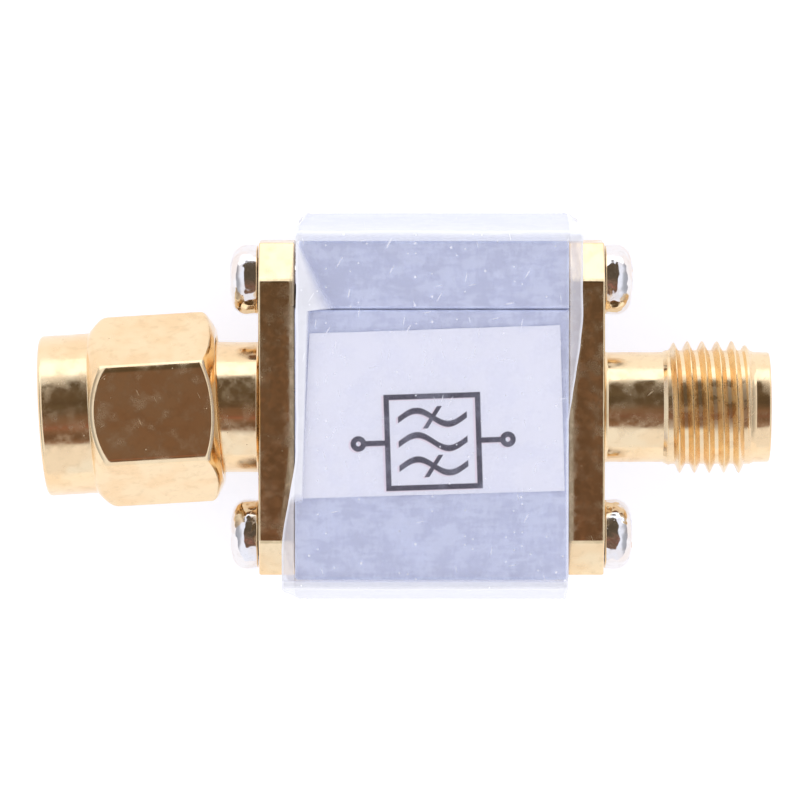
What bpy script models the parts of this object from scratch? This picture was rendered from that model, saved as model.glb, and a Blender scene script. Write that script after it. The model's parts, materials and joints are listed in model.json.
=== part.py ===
"""Surface acoustic wave filter module with a coaxial plug at one end and a coaxial jack at the other.

The module lies on its back, label up. The connectors' common axis runs along X, the plug at -X and
the jack at +X, and +Y is the edge that carries the housing cover. The origin is on the resting face,
under the middle of the housing.
"""

import math
from collections import namedtuple

import bmesh
import bpy
from mathutils import Matrix, Vector

MM = 0.001
TAU = 2 * math.pi

# Clearances
SEAT_GAP = 0.05 * MM            # between rigid pieces that sit on each other
SLEEVE_GAP = 0.2 * MM           # between the housing and the inside of the film
NUT_PLAY = 0.2 * MM             # radial play of the coupling nut on its spigot
NUT_END_PLAY = 0.32 * MM        # between the plug's neck and the nut's lip
THREAD_PLAY = 0.13 * MM         # between a thread's root and its mate's crest
TONGUE_GAP = 0.1 * MM           # between the cover's tongue and the channel's walls
TAP_GAP = 0.05 * MM             # between a screw's shank and its hole in the housing

# Housing: a milled channel block closed by a bar
HOUSING_LENGTH = 12.9 * MM
HOUSING_DEPTH = 10.0 * MM
BASE_BELOW_AXIS = 7.8 * MM
BASE_ABOVE_AXIS = 4.95 * MM
COVER_TALL = 3.2 * MM
COVER_END_GAP = 0.2 * MM        # the bar stops this far short of the plug's flange
EDGE_BREAK = 0.12 * MM
CHANNEL_WIDTH = 5.2 * MM        # narrower than the flanges, which close its ends
TROUGH_WIDTH = 4.0 * MM
TROUGH_DEEP = 1.2 * MM
TONGUE_DEEP = 0.9 * MM

# Two-hole flanges of both connectors
FLANGE_TALL = 15.88 * MM
FLANGE_DEEP = 5.72 * MM
FLANGE_THICK = 1.72 * MM
FLANGE_CUT_TALL = 1.78 * MM     # the four long corners are cut off by flats
FLANGE_CUT_DEEP = 1.48 * MM
FLANGE_EDGE = 0.1 * MM
FLANGE_HOLE_R = 1.3 * MM
SCREW_SPACING = 12.22 * MM
BARREL_SINK = 0.1 * MM          # how far a barrel starts inside its flange

# Coaxial line: each radius is the one inside it plus a wall
PIN_R = 0.457 * MM
CONTACT_R = 0.635 * MM
SOCKET_GAP = 0.025 * MM
SOCKET_DEEP = 2.6 * MM
SLOT_WIDE = 0.16 * MM
SLOT_LONG = 2.0 * MM
BORE_R = 2.05 * MM
TUBE_WALL = 0.245 * MM
GROOVE_WALL = 0.25 * MM
GROOVE_DEEP = 0.25 * MM
JACK_WALL = 0.29 * MM
TAIL_LONG = 2.0 * MM

# Thread shared by the jack and the coupling nut: a quarter inch, 36 turns to the inch
THREAD_PITCH = 0.7056 * MM
THREAD_STEP = 0.085 * MM        # from the jack's plain end up to the thread's root
THREAD_DEEP = 0.43 * MM
THREAD_FORM = ((0, 0), (8 / 32, 0), (19 / 32, 1), (21 / 32, 1))

# Plug
NECK_R = 3.125 * MM
NECK_LONG = 2.23 * MM
NECK_EDGE = 0.15 * MM
SPIGOT_LONG = 2.85 * MM
TUBE_LONG = 2.4 * MM
PIN_REACH = 2.0 * MM
PIN_POINT = 0.45 * MM

# Coupling nut
NUT_LONG = 8.45 * MM
COLLAR_LONG = 2.4 * MM
COLLAR_WALL = 0.63 * MM
COLLAR_EDGE = 0.22 * MM
HEX_WALL = 0.8 * MM             # from the thread's outside to a flat
HEX_STEP = 0.02 * MM            # the hexagon's turned end starts this far outside the collar
HEX_CHAMFER = 0.92 * MM
HEX_BACK_IN = 0.15 * MM         # and its back edge this far inside the collar's radius
HEX_BACK_CHAMFER = 0.66 * MM
NUT_NECK_ROOM = 0.68 * MM       # recess in the nut's back that takes the end of the neck
NUT_LIP_LONG = 0.9 * MM
RING_ROOM = 1.1 * MM
RING_ROOM_R_PLAY = 0.35 * MM
NUT_LAND_LONG = 0.5 * MM
NUT_LAND_PLAY = 0.4 * MM
NUT_RELIEF = 0.06 * MM
NUT_MOUTH = 0.35 * MM
NUT_THREAD_TURNS = 5.75
NUT_DROOP = math.radians(3.5)   # the loose nut hangs towards the lower edge
NUT_LEAN = math.radians(1.1)    # and leans towards the back
NUT_TURN = math.radians(1.5)

# Snap ring and gasket
RING_THICK = 0.4 * MM
RING_TALL = 0.6 * MM
RING_OPENING = 1.1 * MM
GASKET_THICK = 0.45 * MM
GASKET_TALL = 0.3 * MM

# Jack
JACK_NECK_LONG = 3.03 * MM
JACK_FILLET = 0.2 * MM
JACK_THREAD_TURNS = 5.625
JACK_THREAD_TURN = TAU * 7 / 32
JACK_END_LONG = 0.93 * MM
JACK_EDGE = 0.08 * MM
COUNTERBORE_DEEP = 1.93 * MM

# Flange screws, M2 pan head
SCREW_R = 1.0 * MM
SCREW_LONG = 5.0 * MM
HEAD_R = 1.72 * MM
HEAD_TALL = 1.25 * MM
HEAD_ROUND = 0.55 * MM
RECESS_SPAN = 1.9 * MM
RECESS_SLOT = 0.42 * MM
RECESS_DEEP = 0.75 * MM
HOLE_RUN_OUT = 0.6 * MM         # how far a tapped hole goes past the screw's end

# Board and what is soldered to it
BOARD_THICK = 0.8 * MM
SOLDER_PAST_TAIL = 0.45 * MM
SOLDER_LONG = 2.1 * MM
SOLDER_WIDE = 1.95 * MM
SOLDER_TALL = 0.85 * MM
SAW_SPAN = 3.8 * MM
SAW_TALL = 1.0 * MM
SAW_RIM = 0.5 * MM
SAW_FLOOR = 0.4 * MM
SAW_DIE_LONG = 2.5 * MM
SAW_DIE_WIDE = 2.0 * MM
SAW_DIE_THICK = 0.35 * MM
SAW_LID_SPAN = 3.4 * MM
SAW_LID_THICK = 0.12 * MM
CHIP_LONG = 1.0 * MM
CHIP_THICK = 0.5 * MM
CHIP_CAP = 0.25 * MM
CHIP_CAP_STEP = 0.03 * MM
CHIP_SIDE = 0.85 * MM           # sideways offset of each matching part

# Film sleeve: a flat tube shrunk on, so its two old creases stand off the edges
FILM_WALL = 0.2 * MM
SLEEVE_CREASE_TOP = 0.9 * MM    # from the housing's upper face to the inside of the crease
SLEEVE_CREASE_LOW = 1.25 * MM
SLEEVE_ROUND = 0.25 * MM
SLEEVE_PLUG_SHORT = 0.06 * MM   # how far the ends stop short of the housing's ends
SLEEVE_JACK_SHORT = 0.04 * MM
SLEEVE_FLARE = 0.68 * MM        # how far each end runs out over its flange at one corner
SLEEVE_SETBACK = 0.35 * MM      # and how far it is drawn back at a crease

# Paper label
LABEL_MARGIN = 0.35 * MM        # from the ends of the housing
LABEL_TALL = 7.75 * MM
LABEL_TAPER = 0.35 * MM         # half of what the lower edge has over the upper one
LABEL_CENTRE = 0.14 * MM
LABEL_TURN = math.radians(1.8)
LABEL_THICK = 0.1 * MM

SIDES = 32
SMALL_SIDES = 20
PANEL_STEPS = 12

# Places that follow from the sizes above
HALF_DEPTH = HOUSING_DEPTH / 2
AXIS_Z = HALF_DEPTH + SLEEVE_GAP + FILM_WALL
FLANGE_AT = HOUSING_LENGTH / 2 + SEAT_GAP
HOUSING_TOP = BASE_ABOVE_AXIS + SEAT_GAP + COVER_TALL
TUBE_R = BORE_R + TUBE_WALL
GROOVE_R = BORE_R + GROOVE_WALL
SPIGOT_R = GROOVE_R + GROOVE_DEEP
COUNTERBORE_R = TUBE_R + SEAT_GAP
JACK_R = COUNTERBORE_R + JACK_WALL
THREAD_ROOT_R = JACK_R + THREAD_STEP
THREAD_CREST_R = THREAD_ROOT_R + THREAD_DEEP
NUT_MINOR_R = THREAD_ROOT_R + THREAD_PLAY
NUT_MAJOR_R = THREAD_CREST_R + SEAT_GAP
COLLAR_R = NUT_MAJOR_R + COLLAR_WALL
HEX_FLAT_R = NUT_MAJOR_R + HEX_WALL
HEX_CORNER_R = HEX_FLAT_R / math.cos(math.pi / 6)
RING_R = GROOVE_R + SEAT_GAP + RING_TALL
PLUG_FACE = FLANGE_THICK + NECK_LONG + SPIGOT_LONG + TUBE_LONG
NUT_BACK = FLANGE_THICK + NECK_LONG + NUT_END_PLAY - NUT_NECK_ROOM
NUT_PIVOT = NUT_NECK_ROOM + NUT_LIP_LONG / 2
RING_AT = NUT_BACK + NUT_NECK_ROOM + NUT_LIP_LONG + RING_ROOM / 2
JACK_THREAD_AT = FLANGE_THICK + JACK_NECK_LONG
JACK_THREAD_END = JACK_THREAD_AT + JACK_THREAD_TURNS * THREAD_PITCH
JACK_END = JACK_THREAD_END + JACK_END_LONG
JACK_FACE = JACK_END - COUNTERBORE_DEEP
SOLDER_END = FLANGE_AT - TAIL_LONG - SOLDER_PAST_TAIL
CHIP_AT = (SAW_SPAN / 2 + SOLDER_END) / 2
BOARD_TOP = -(CONTACT_R + SEAT_GAP)
LEDGE = BOARD_TOP - BOARD_THICK - SEAT_GAP

Thread = namedtuple("Thread", "start turns root crest")


def clear_scene():
    for thing in list(bpy.data.objects):
        bpy.data.objects.remove(thing, do_unlink=True)


def material(name, colour, roughness, metallic=0.0, alpha=1.0):
    made = bpy.data.materials.new(name)
    made.use_nodes = True
    shader = made.node_tree.nodes["Principled BSDF"]
    shader.inputs["Base Color"].default_value = (*colour, 1.0)
    shader.inputs["Roughness"].default_value = roughness
    shader.inputs["Metallic"].default_value = metallic
    shader.inputs["Alpha"].default_value = alpha
    return made


def add(name, bm, finish, parent=None, smooth=True):
    """Put a finished bmesh in the scene as a named object."""
    bmesh.ops.recalc_face_normals(bm, faces=bm.faces)
    mesh = bpy.data.meshes.new(name)
    bm.to_mesh(mesh)
    bm.free()
    if finish:
        mesh.materials.append(finish)
    if smooth:
        mesh.shade_smooth()
        mesh.set_sharp_from_angle(angle=math.radians(35))
    made = bpy.data.objects.new(name, mesh)
    made.parent = parent
    bpy.context.scene.collection.objects.link(made)
    return made


def add_cutter(name, bm, parent=None):
    made = add(name, bm, None, parent, smooth=False)
    made.hide_render = True
    made.display_type = "WIRE"
    return made


def combine(target, other, operation="DIFFERENCE"):
    step = target.modifiers.new(other.name, "BOOLEAN")
    step.operation = operation
    step.object = other
    step.solver = "EXACT"


def frame_empty(name, place, turn=(0, 0, 0)):
    made = bpy.data.objects.new(name, None)
    made.location = place
    made.rotation_euler = turn
    bpy.context.scene.collection.objects.link(made)
    return made


def loft(loops):
    """Closed solid through loops of equally many points, with a flat cap at each end."""
    bm = bmesh.new()
    rings = [[bm.verts.new(point) for point in loop] for loop in loops]
    for low, high in zip(rings, rings[1:]):
        for at in range(len(low)):
            after = (at + 1) % len(low)
            bm.faces.new((low[at], low[after], high[after], high[at]))
    bm.faces.new(reversed(rings[0]))
    bm.faces.new(rings[-1])
    return bm


def prism(outline, start, end):
    """Solid along X between two places, from an outline of (y, z) points."""
    return loft([[(x, y, z) for y, z in outline] for x in (start, end)])


def block(low, high):
    outline = ((low[1], low[2]), (high[1], low[2]), (high[1], high[2]), (low[1], high[2]))
    return prism(outline, low[0], high[0])


def thread_line(thread, angle):
    """Points of a right-hand thread where it crosses one lengthwise plane, fading out at both ends."""
    end = thread.start + thread.turns * THREAD_PITCH
    fade = THREAD_PITCH / 2
    line = []
    for turn in range(-1, math.ceil(thread.turns) + 1):
        for share, height in THREAD_FORM:
            place = thread.start + (turn + share + angle / TAU) * THREAD_PITCH
            x = min(max(place, thread.start), end)
            height *= min(1, (x - thread.start) / fade, (end - x) / fade)
            line.append((x, thread.root + height * (thread.crest - thread.root)))
    return line


def turned(profile, sides=SIDES, thread=None, phase=0.0):
    """Solid turned about X from (x, r) points, in order along X, that start and end on the axis.

    A thread stands between the two profile points at its start.
    """
    bm = bmesh.new()
    columns = []
    for side in range(sides + 1):
        angle = TAU * side / sides
        line = [(x, r) for x, r in profile if thread is None or x <= thread.start]
        if thread:
            line += thread_line(thread, angle)
            line += [(x, r) for x, r in profile if x > thread.start]
        turn = angle + phase
        columns.append(
            [bm.verts.new((x, r * math.cos(turn), r * math.sin(turn))) for x, r in line]
        )
    for here, there in zip(columns, columns[1:]):
        for row in range(len(here) - 1):
            bm.faces.new((here[row], here[row + 1], there[row + 1], there[row]))
    bmesh.ops.remove_doubles(bm, verts=bm.verts, dist=0.0001 * MM)
    return bm


def arc(centre, radius, first, last, steps=4):
    """Points (x, r) on a quarter round or less, by angles in degrees from the X direction."""
    points = []
    for step in range(steps + 1):
        angle = math.radians(first + (last - first) * step / steps)
        points.append((centre[0] + radius * math.cos(angle), centre[1] + radius * math.sin(angle)))
    return points


def soften(bm, chosen, width=EDGE_BREAK):
    """Break the edges whose two ends both pass the test."""
    edges = [edge for edge in bm.edges if all(chosen(vert.co) for vert in edge.verts)]
    bmesh.ops.bevel(bm, geom=edges, offset=width, segments=2, profile=0.5, affect="EDGES")
    return bm


def on_broad_face(place):
    return abs(abs(place.z - AXIS_Z) - HALF_DEPTH) < SEAT_GAP / 10


def housing_base(finish):
    """Milled block: an open channel for the board, a ledge down each side and a trough below."""
    half, shelf = CHANNEL_WIDTH / 2, TROUGH_WIDTH / 2
    side = [
        (-BASE_BELOW_AXIS, HALF_DEPTH),
        (BASE_ABOVE_AXIS, HALF_DEPTH),
        (BASE_ABOVE_AXIS, half),
        (LEDGE, half),
        (LEDGE, shelf),
        (LEDGE - TROUGH_DEEP, shelf),
    ]
    mirrored = [(y, -z) for y, z in reversed(side)]
    outline = [(y, AXIS_Z + z) for y, z in side + mirrored]
    bm = prism(outline, -HOUSING_LENGTH / 2, HOUSING_LENGTH / 2)
    return add("housing_base", soften(bm, on_broad_face), finish)


def housing_cover(finish):
    """Bar over the channel, with a tongue between the channel's walls."""
    low = BASE_ABOVE_AXIS + SEAT_GAP
    tongue = CHANNEL_WIDTH / 2 - TONGUE_GAP
    side = [(HOUSING_TOP, HALF_DEPTH), (low, HALF_DEPTH), (low, tongue), (low - TONGUE_DEEP, tongue)]
    mirrored = [(y, -z) for y, z in reversed(side)]
    outline = [(y, AXIS_Z + z) for y, z in side + mirrored]
    bm = prism(outline, COVER_END_GAP - HOUSING_LENGTH / 2, HOUSING_LENGTH / 2)
    return add("housing_cover", soften(bm, on_broad_face), finish)


def tap_holes(pieces, mounts):
    """Blind holes for the flange screws, cut in whichever piece each one meets."""
    deep = SCREW_LONG - FLANGE_THICK + HOLE_RUN_OUT
    for mount in mounts:
        for sign in (1, -1):
            bm = turned(rod_profile(-deep, FLANGE_THICK, SCREW_R + TAP_GAP), SMALL_SIDES)
            bm.transform(Matrix.Translation((0, sign * SCREW_SPACING / 2, 0)))
            hole = add_cutter(f"tap_hole_{mount.name}_{sign}", bm, mount)
            for piece in pieces:
                combine(piece, hole)


def rod_profile(start, end, radius):
    return [(start, 0), (start, radius), (end, radius), (end, 0)]


def flange_plate(name, finish, mount):
    """Oblong plate with its four long corners cut by flats."""
    tall, deep = FLANGE_TALL / 2, FLANGE_DEEP / 2
    quarter = [(tall - FLANGE_CUT_TALL, deep), (tall, deep - FLANGE_CUT_DEEP)]
    outline = quarter + [(y, -z) for y, z in reversed(quarter)]
    outline += [(-y, -z) for y, z in quarter] + [(-y, z) for y, z in reversed(quarter)]
    bm = soften(prism(outline, 0, FLANGE_THICK), lambda place: True, FLANGE_EDGE)
    return add(name, bm, finish, mount)


def drill_flange(body, mount, bore):
    """Two screw holes and the stepped bore of the coaxial line."""
    for sign in (1, -1):
        bm = turned(rod_profile(-FLANGE_THICK, 2 * FLANGE_THICK, FLANGE_HOLE_R), SMALL_SIDES)
        bm.transform(Matrix.Translation((0, sign * SCREW_SPACING / 2, 0)))
        combine(body, add_cutter(f"{body.name}_hole_{sign}", bm, mount))
    combine(body, add_cutter(f"{body.name}_bore", turned(bore), mount))


def plug_body(finish, mount):
    """Plug: flange, neck, grooved spigot that carries the nut, and the thin outer conductor."""
    body = flange_plate("plug_body", finish, mount)
    shoulder = FLANGE_THICK + NECK_LONG
    step = shoulder + SPIGOT_LONG
    barrel = [
        (FLANGE_THICK - BARREL_SINK, 0),
        (FLANGE_THICK - BARREL_SINK, NECK_R),
        (shoulder - NECK_EDGE, NECK_R),
        (shoulder, NECK_R - NECK_EDGE),
        (shoulder, SPIGOT_R),
        (RING_AT - RING_THICK / 2 - SEAT_GAP, SPIGOT_R),
        (RING_AT - RING_THICK / 2 - SEAT_GAP, GROOVE_R),
        (RING_AT + RING_THICK / 2 + SEAT_GAP, GROOVE_R),
        (RING_AT + RING_THICK / 2 + SEAT_GAP, SPIGOT_R),
        (step, SPIGOT_R),
        (step, TUBE_R),
        (PLUG_FACE, TUBE_R),
        (PLUG_FACE, 0),
    ]
    combine(body, add_cutter("plug_barrel", turned(barrel), mount), "UNION")
    drill_flange(body, mount, rod_profile(-FLANGE_THICK, PLUG_FACE + FLANGE_THICK, BORE_R))
    return body


def jack_body(finish, mount):
    """Jack: flange, filleted neck, external thread, plain lead-in end and counterbored mouth."""
    body = flange_plate("jack_body", finish, mount)
    root = [(FLANGE_THICK - BARREL_SINK, 0), (FLANGE_THICK - BARREL_SINK, JACK_R + JACK_FILLET)]
    corner = (FLANGE_THICK + JACK_FILLET, JACK_R + JACK_FILLET)
    barrel = root + arc(corner, JACK_FILLET, 180, 270) + [
        (JACK_THREAD_AT, JACK_R),
        (JACK_THREAD_AT, THREAD_ROOT_R),
        (JACK_THREAD_END + SEAT_GAP, JACK_R),
        (JACK_END - JACK_EDGE, JACK_R),
        (JACK_END, JACK_R - JACK_EDGE),
        (JACK_END, 0),
    ]
    thread = Thread(JACK_THREAD_AT, JACK_THREAD_TURNS, THREAD_ROOT_R, THREAD_CREST_R)
    barrel_solid = turned(barrel, thread=thread, phase=JACK_THREAD_TURN)
    combine(body, add_cutter("jack_barrel", barrel_solid, mount), "UNION")
    bore = [
        (-FLANGE_THICK, 0),
        (-FLANGE_THICK, BORE_R),
        (JACK_FACE, BORE_R),
        (JACK_FACE, COUNTERBORE_R),
        (JACK_END + FLANGE_THICK, COUNTERBORE_R),
        (JACK_END + FLANGE_THICK, 0),
    ]
    drill_flange(body, mount, bore)
    return body


def dielectric(name, finish, mount, face):
    """Insulating bead that fills the bore and carries the centre contact."""
    body = add(name, turned(rod_profile(0, face, BORE_R - SEAT_GAP)), finish, mount)
    hole = turned(rod_profile(-FLANGE_THICK, face + FLANGE_THICK, CONTACT_R + SEAT_GAP), SMALL_SIDES)
    combine(body, add_cutter(f"{name}_hole", hole, mount))
    return body


def plug_pin(finish, mount):
    reach = PLUG_FACE + PIN_REACH
    profile = [
        (-TAIL_LONG, 0),
        (-TAIL_LONG, CONTACT_R),
        (PLUG_FACE, CONTACT_R),
        (PLUG_FACE, PIN_R),
        (reach - PIN_POINT, PIN_R),
        (reach, PIN_R / 3),
        (reach, 0),
    ]
    return add("plug_pin", turned(profile, SMALL_SIDES), finish, mount)


def jack_contact(finish, mount):
    """Centre contact of the jack: a socket slotted into four springy fingers."""
    rod = turned(rod_profile(-TAIL_LONG, JACK_FACE, CONTACT_R), SMALL_SIDES)
    body = add("jack_contact", rod, finish, mount)
    past = JACK_FACE + SOCKET_DEEP
    socket = turned(rod_profile(JACK_FACE - SOCKET_DEEP, past, PIN_R + SOCKET_GAP), SMALL_SIDES)
    combine(body, add_cutter("jack_socket", socket, mount))
    back, half = JACK_FACE - SLOT_LONG, SLOT_WIDE / 2
    for name, y, z in (("upright", TUBE_R, half), ("level", half, TUBE_R)):
        slot = block((back, -y, -z), (past, y, z))
        combine(body, add_cutter(f"jack_slot_{name}", slot, mount))
    return body


def coupling_nut(finish, pivot):
    """Loose nut: a hexagon with turned ends behind a round collar, threaded inside."""
    hex_end = NUT_LONG - COLLAR_LONG
    full_r = HEX_CORNER_R + HEX_STEP
    round_at = (NUT_LONG - COLLAR_EDGE, COLLAR_R - COLLAR_EDGE)
    profile = [
        (0, 0),
        (0, COLLAR_R - HEX_BACK_IN),
        (HEX_BACK_CHAMFER, full_r),
        (hex_end - HEX_CHAMFER, full_r),
        (hex_end, COLLAR_R + HEX_STEP),
        (hex_end, COLLAR_R),
    ] + arc(round_at, COLLAR_EDGE, 90, 0) + [(NUT_LONG, 0)]
    shift = Matrix.Translation((-NUT_PIVOT, 0, 0))
    outside = turned(profile)
    outside.transform(shift)
    body = add("coupling_nut", outside, finish, pivot)
    combine(body, add_cutter("nut_hexagon", nut_hexagon(), pivot), "INTERSECT")
    bore = nut_bore()
    bore.transform(shift)
    combine(body, add_cutter("nut_bore", bore, pivot))
    return body


def nut_hexagon():
    """Six-sided bar with one flat square to +Z."""
    corners = [TAU * side / 6 + NUT_TURN for side in range(6)]
    outline = [(HEX_CORNER_R * math.cos(a), HEX_CORNER_R * math.sin(a)) for a in corners]
    return prism(outline, -NUT_LONG, 2 * NUT_LONG)


def nut_bore():
    """Inside of the nut: neck room, lip, room for the snap ring, land, relief, thread and mouth."""
    neck_r = NECK_R + NUT_PLAY
    lip_r = SPIGOT_R + NUT_PLAY
    room_r = RING_R + RING_ROOM_R_PLAY
    land_r = SPIGOT_R + NUT_LAND_PLAY
    relief_r = NUT_MAJOR_R + NUT_RELIEF
    lip_end = NUT_NECK_ROOM + NUT_LIP_LONG
    room_end = lip_end + RING_ROOM
    land_end = room_end + NUT_LAND_LONG
    thread_end = NUT_LONG - NUT_MOUTH
    thread_at = thread_end - NUT_THREAD_TURNS * THREAD_PITCH
    profile = [
        (-NUT_MOUTH, 0),
        (-NUT_MOUTH, neck_r),
        (NUT_NECK_ROOM, neck_r),
        (NUT_NECK_ROOM, lip_r),
        (lip_end, lip_r),
        (lip_end, room_r),
        (room_end, room_r),
        (room_end, land_r),
        (land_end, land_r),
        (land_end, relief_r),
        (thread_at - SEAT_GAP, relief_r),
        (thread_at, NUT_MINOR_R),
        (thread_end + SEAT_GAP, NUT_MINOR_R),
        (thread_end + 2 * SEAT_GAP, NUT_MAJOR_R),
        (NUT_LONG + NUT_MOUTH, NUT_MAJOR_R + NUT_MOUTH),
        (NUT_LONG + NUT_MOUTH, 0),
    ]
    thread = Thread(thread_at, NUT_THREAD_TURNS, NUT_MINOR_R, NUT_MAJOR_R)
    return turned(profile, thread=thread)


def snap_ring(finish, mount):
    """Split wire ring in the spigot's groove, which keeps the nut on."""
    inner = GROOVE_R + SEAT_GAP
    section = [(-RING_THICK / 2, inner), (RING_THICK / 2, inner)]
    section += [(RING_THICK / 2, RING_R), (-RING_THICK / 2, RING_R)]
    first = RING_OPENING / (2 * RING_R)
    loops = []
    for step in range(SIDES - 1):
        angle = first + (TAU - 2 * first) * step / (SIDES - 2)
        loops.append([(RING_AT + x, r * math.cos(angle), r * math.sin(angle)) for x, r in section])
    return add("nut_snap_ring", loft(loops), finish, mount)


def gasket(finish, mount):
    """Flat ring against the spigot's end, which the jack's rim presses on."""
    start = FLANGE_THICK + NECK_LONG + SPIGOT_LONG + SEAT_GAP
    inner = TUBE_R + SEAT_GAP
    end = start + GASKET_THICK
    body = add("nut_gasket", turned(rod_profile(start, end, inner + GASKET_TALL)), finish, mount)
    hole = turned(rod_profile(start - GASKET_THICK, end + GASKET_THICK, inner))
    combine(body, add_cutter("nut_gasket_hole", hole, mount))
    return body


def flange_screw(name, finish, mount, sign):
    """Pan-head screw with a cross recess, its head on the flange and its shank in the housing."""
    seat = FLANGE_THICK + SEAT_GAP
    top = seat + HEAD_TALL
    profile = [
        (seat - SCREW_LONG, 0),
        (seat - SCREW_LONG, SCREW_R - EDGE_BREAK),
        (seat - SCREW_LONG + EDGE_BREAK, SCREW_R),
        (seat, SCREW_R),
        (seat, HEAD_R),
    ] + arc((top - HEAD_ROUND, HEAD_R - HEAD_ROUND), HEAD_ROUND, 90, 0) + [(top, 0)]
    body = add(name, turned(profile, 24), finish, mount)
    body.location = (0, sign * SCREW_SPACING / 2, 0)
    recess = add_cutter(f"{name}_recess", cross_recess(top), body)
    combine(body, recess)
    return body


def cross_recess(top):
    """Tapered cross that is pressed into a screw's head."""
    span, slot = RECESS_SPAN / 2, RECESS_SLOT / 2
    arm = [(span, slot), (slot, slot), (slot, span)]
    outline = []
    for quarter in range(4):
        turn = Matrix.Rotation(quarter * math.pi / 2, 2)
        points = [turn @ Vector(point) for point in arm]
        outline += points
    loops = []
    for x, scale in ((top - RECESS_DEEP, 0.5), (top, 1.0), (top + RECESS_DEEP, 1.5)):
        loops.append([(x, point.x * scale, point.y * scale) for point in outline])
    return loft(loops)


def filter_board(finish):
    half_length = HOUSING_LENGTH / 2 - SEAT_GAP
    half_width = CHANNEL_WIDTH / 2 - SEAT_GAP
    low = (-half_length, BOARD_TOP - BOARD_THICK, AXIS_Z - half_width)
    return add("filter_board", block(low, (half_length, BOARD_TOP, AXIS_Z + half_width)), finish)


def solder_joint(name, finish, mount):
    """Fillet of solder that ties a contact's tail to the board."""
    bm = bmesh.new()
    bmesh.ops.create_uvsphere(bm, u_segments=20, v_segments=10, radius=1)
    size = Matrix.Diagonal((SOLDER_LONG / 2, SOLDER_TALL, SOLDER_WIDE / 2, 1))
    middle = SOLDER_LONG / 2 - TAIL_LONG - SOLDER_PAST_TAIL
    bm.transform(Matrix.Translation((middle, BOARD_TOP, 0)) @ size)
    body = add(name, bm, finish, mount)
    past = 2 * SOLDER_LONG
    under = block((-past, BOARD_TOP - past, -past), (past, BOARD_TOP + SEAT_GAP, past))
    combine(body, add_cutter(f"{name}_under", under, mount))
    tail = turned(rod_profile(-TAIL_LONG - SEAT_GAP, SOLDER_LONG, CONTACT_R + SEAT_GAP), SMALL_SIDES)
    combine(body, add_cutter(f"{name}_tail", tail, mount))
    return body


def on_board(name, finish, size, low, at=(0, 0), smooth=False):
    """Small block with its underside at a height above the axis and its middle at (x, z)."""
    half = (size[0] / 2, size[2] / 2)
    first = (at[0] - half[0], low, AXIS_Z + at[1] - half[1])
    last = (at[0] + half[0], low + size[1], AXIS_Z + at[1] + half[1])
    return add(name, block(first, last), finish, smooth=smooth)


def saw_device(ceramic, crystal, lid_metal):
    """Filter device: ceramic tray, piezoelectric chip on its floor, and a flat metal lid."""
    low = BOARD_TOP + SEAT_GAP
    tray = on_board("saw_package", ceramic, (SAW_SPAN, SAW_TALL, SAW_SPAN), low)
    room = SAW_SPAN - 2 * SAW_RIM
    floor = low + SAW_FLOOR
    cavity = on_board("saw_cavity", None, (room, SAW_TALL, room), floor)
    cavity.hide_render = True
    cavity.display_type = "WIRE"
    combine(tray, cavity)
    on_board("saw_chip", crystal, (SAW_DIE_LONG, SAW_DIE_THICK, SAW_DIE_WIDE), floor + SEAT_GAP)
    top = low + SAW_TALL + SEAT_GAP
    on_board("saw_lid", lid_metal, (SAW_LID_SPAN, SAW_LID_THICK, SAW_LID_SPAN), top)


def chip_part(name, finish, at):
    """Square chip that lies across the board, with a slightly thicker metal cap at each end."""
    cap = CHIP_THICK / math.sqrt(2)
    core = cap - CHIP_CAP_STEP * math.sqrt(2)
    half = CHIP_LONG / 2
    inner = half - CHIP_CAP
    profile = [(-half, 0), (-half, cap), (-inner, cap), (-inner, core)]
    profile += [(-x, r) for x, r in reversed(profile)]
    bm = turned(profile, 4, phase=math.pi / 4)
    height = BOARD_TOP + SEAT_GAP + CHIP_THICK / 2
    across = Matrix.Rotation(math.pi / 2, 4, "Y")
    bm.transform(Matrix.Translation((at[0], height, AXIS_Z + at[1])) @ across)
    return add(name, bm, finish, smooth=False)


def chip_parts(ferrite, ceramic):
    """Inductor and capacitor of the matching network, midway between the device and each joint."""
    for side, sign in (("in", -1), ("out", 1)):
        chip_part(f"matching_inductor_{side}", ferrite, (sign * CHIP_AT, -CHIP_SIDE))
        chip_part(f"matching_capacitor_{side}", ceramic, (sign * CHIP_AT, CHIP_SIDE))


def blend(low, high, value):
    """Smooth step from 0 at low to 1 at high."""
    share = min(max((value - low) / (high - low), 0), 1)
    return share * share * (3 - 2 * share)


def sleeve_section(offset):
    """Section of the film as (y, z, crease): a box round the housing whose old folds stand off."""
    half = HALF_DEPTH + SLEEVE_GAP + offset
    top = HOUSING_TOP + SLEEVE_GAP + offset
    low = -BASE_BELOW_AXIS - SLEEVE_GAP - offset
    bend = SLEEVE_ROUND + offset
    rise = SLEEVE_CREASE_TOP - SLEEVE_GAP
    drop = SLEEVE_CREASE_LOW - SLEEVE_GAP
    turns = [(bend * math.cos(a), half - bend + bend * math.sin(a)) for a in (0.5, 1.0)]
    side = [(low + bend - out, z) for out, z in turns]
    for step in range(PANEL_STEPS + 1):
        side.append((low + bend + (top - low - 2 * bend) * step / PANEL_STEPS, half))
    side += [(top - bend + out, z) for out, z in reversed(turns)]
    front = [(low - drop, 0.0, 1.0), (low - drop / 2, half / 2, 0.4)]
    front += [(y, z, 0.0) for y, z in side]
    front += [(top + rise / 2, half / 2, 0.4), (top + rise, 0.0, 1.0)]
    back = [(y, -z, crease) for y, z, crease in reversed(front[1:-1])]
    return front + back


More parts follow.
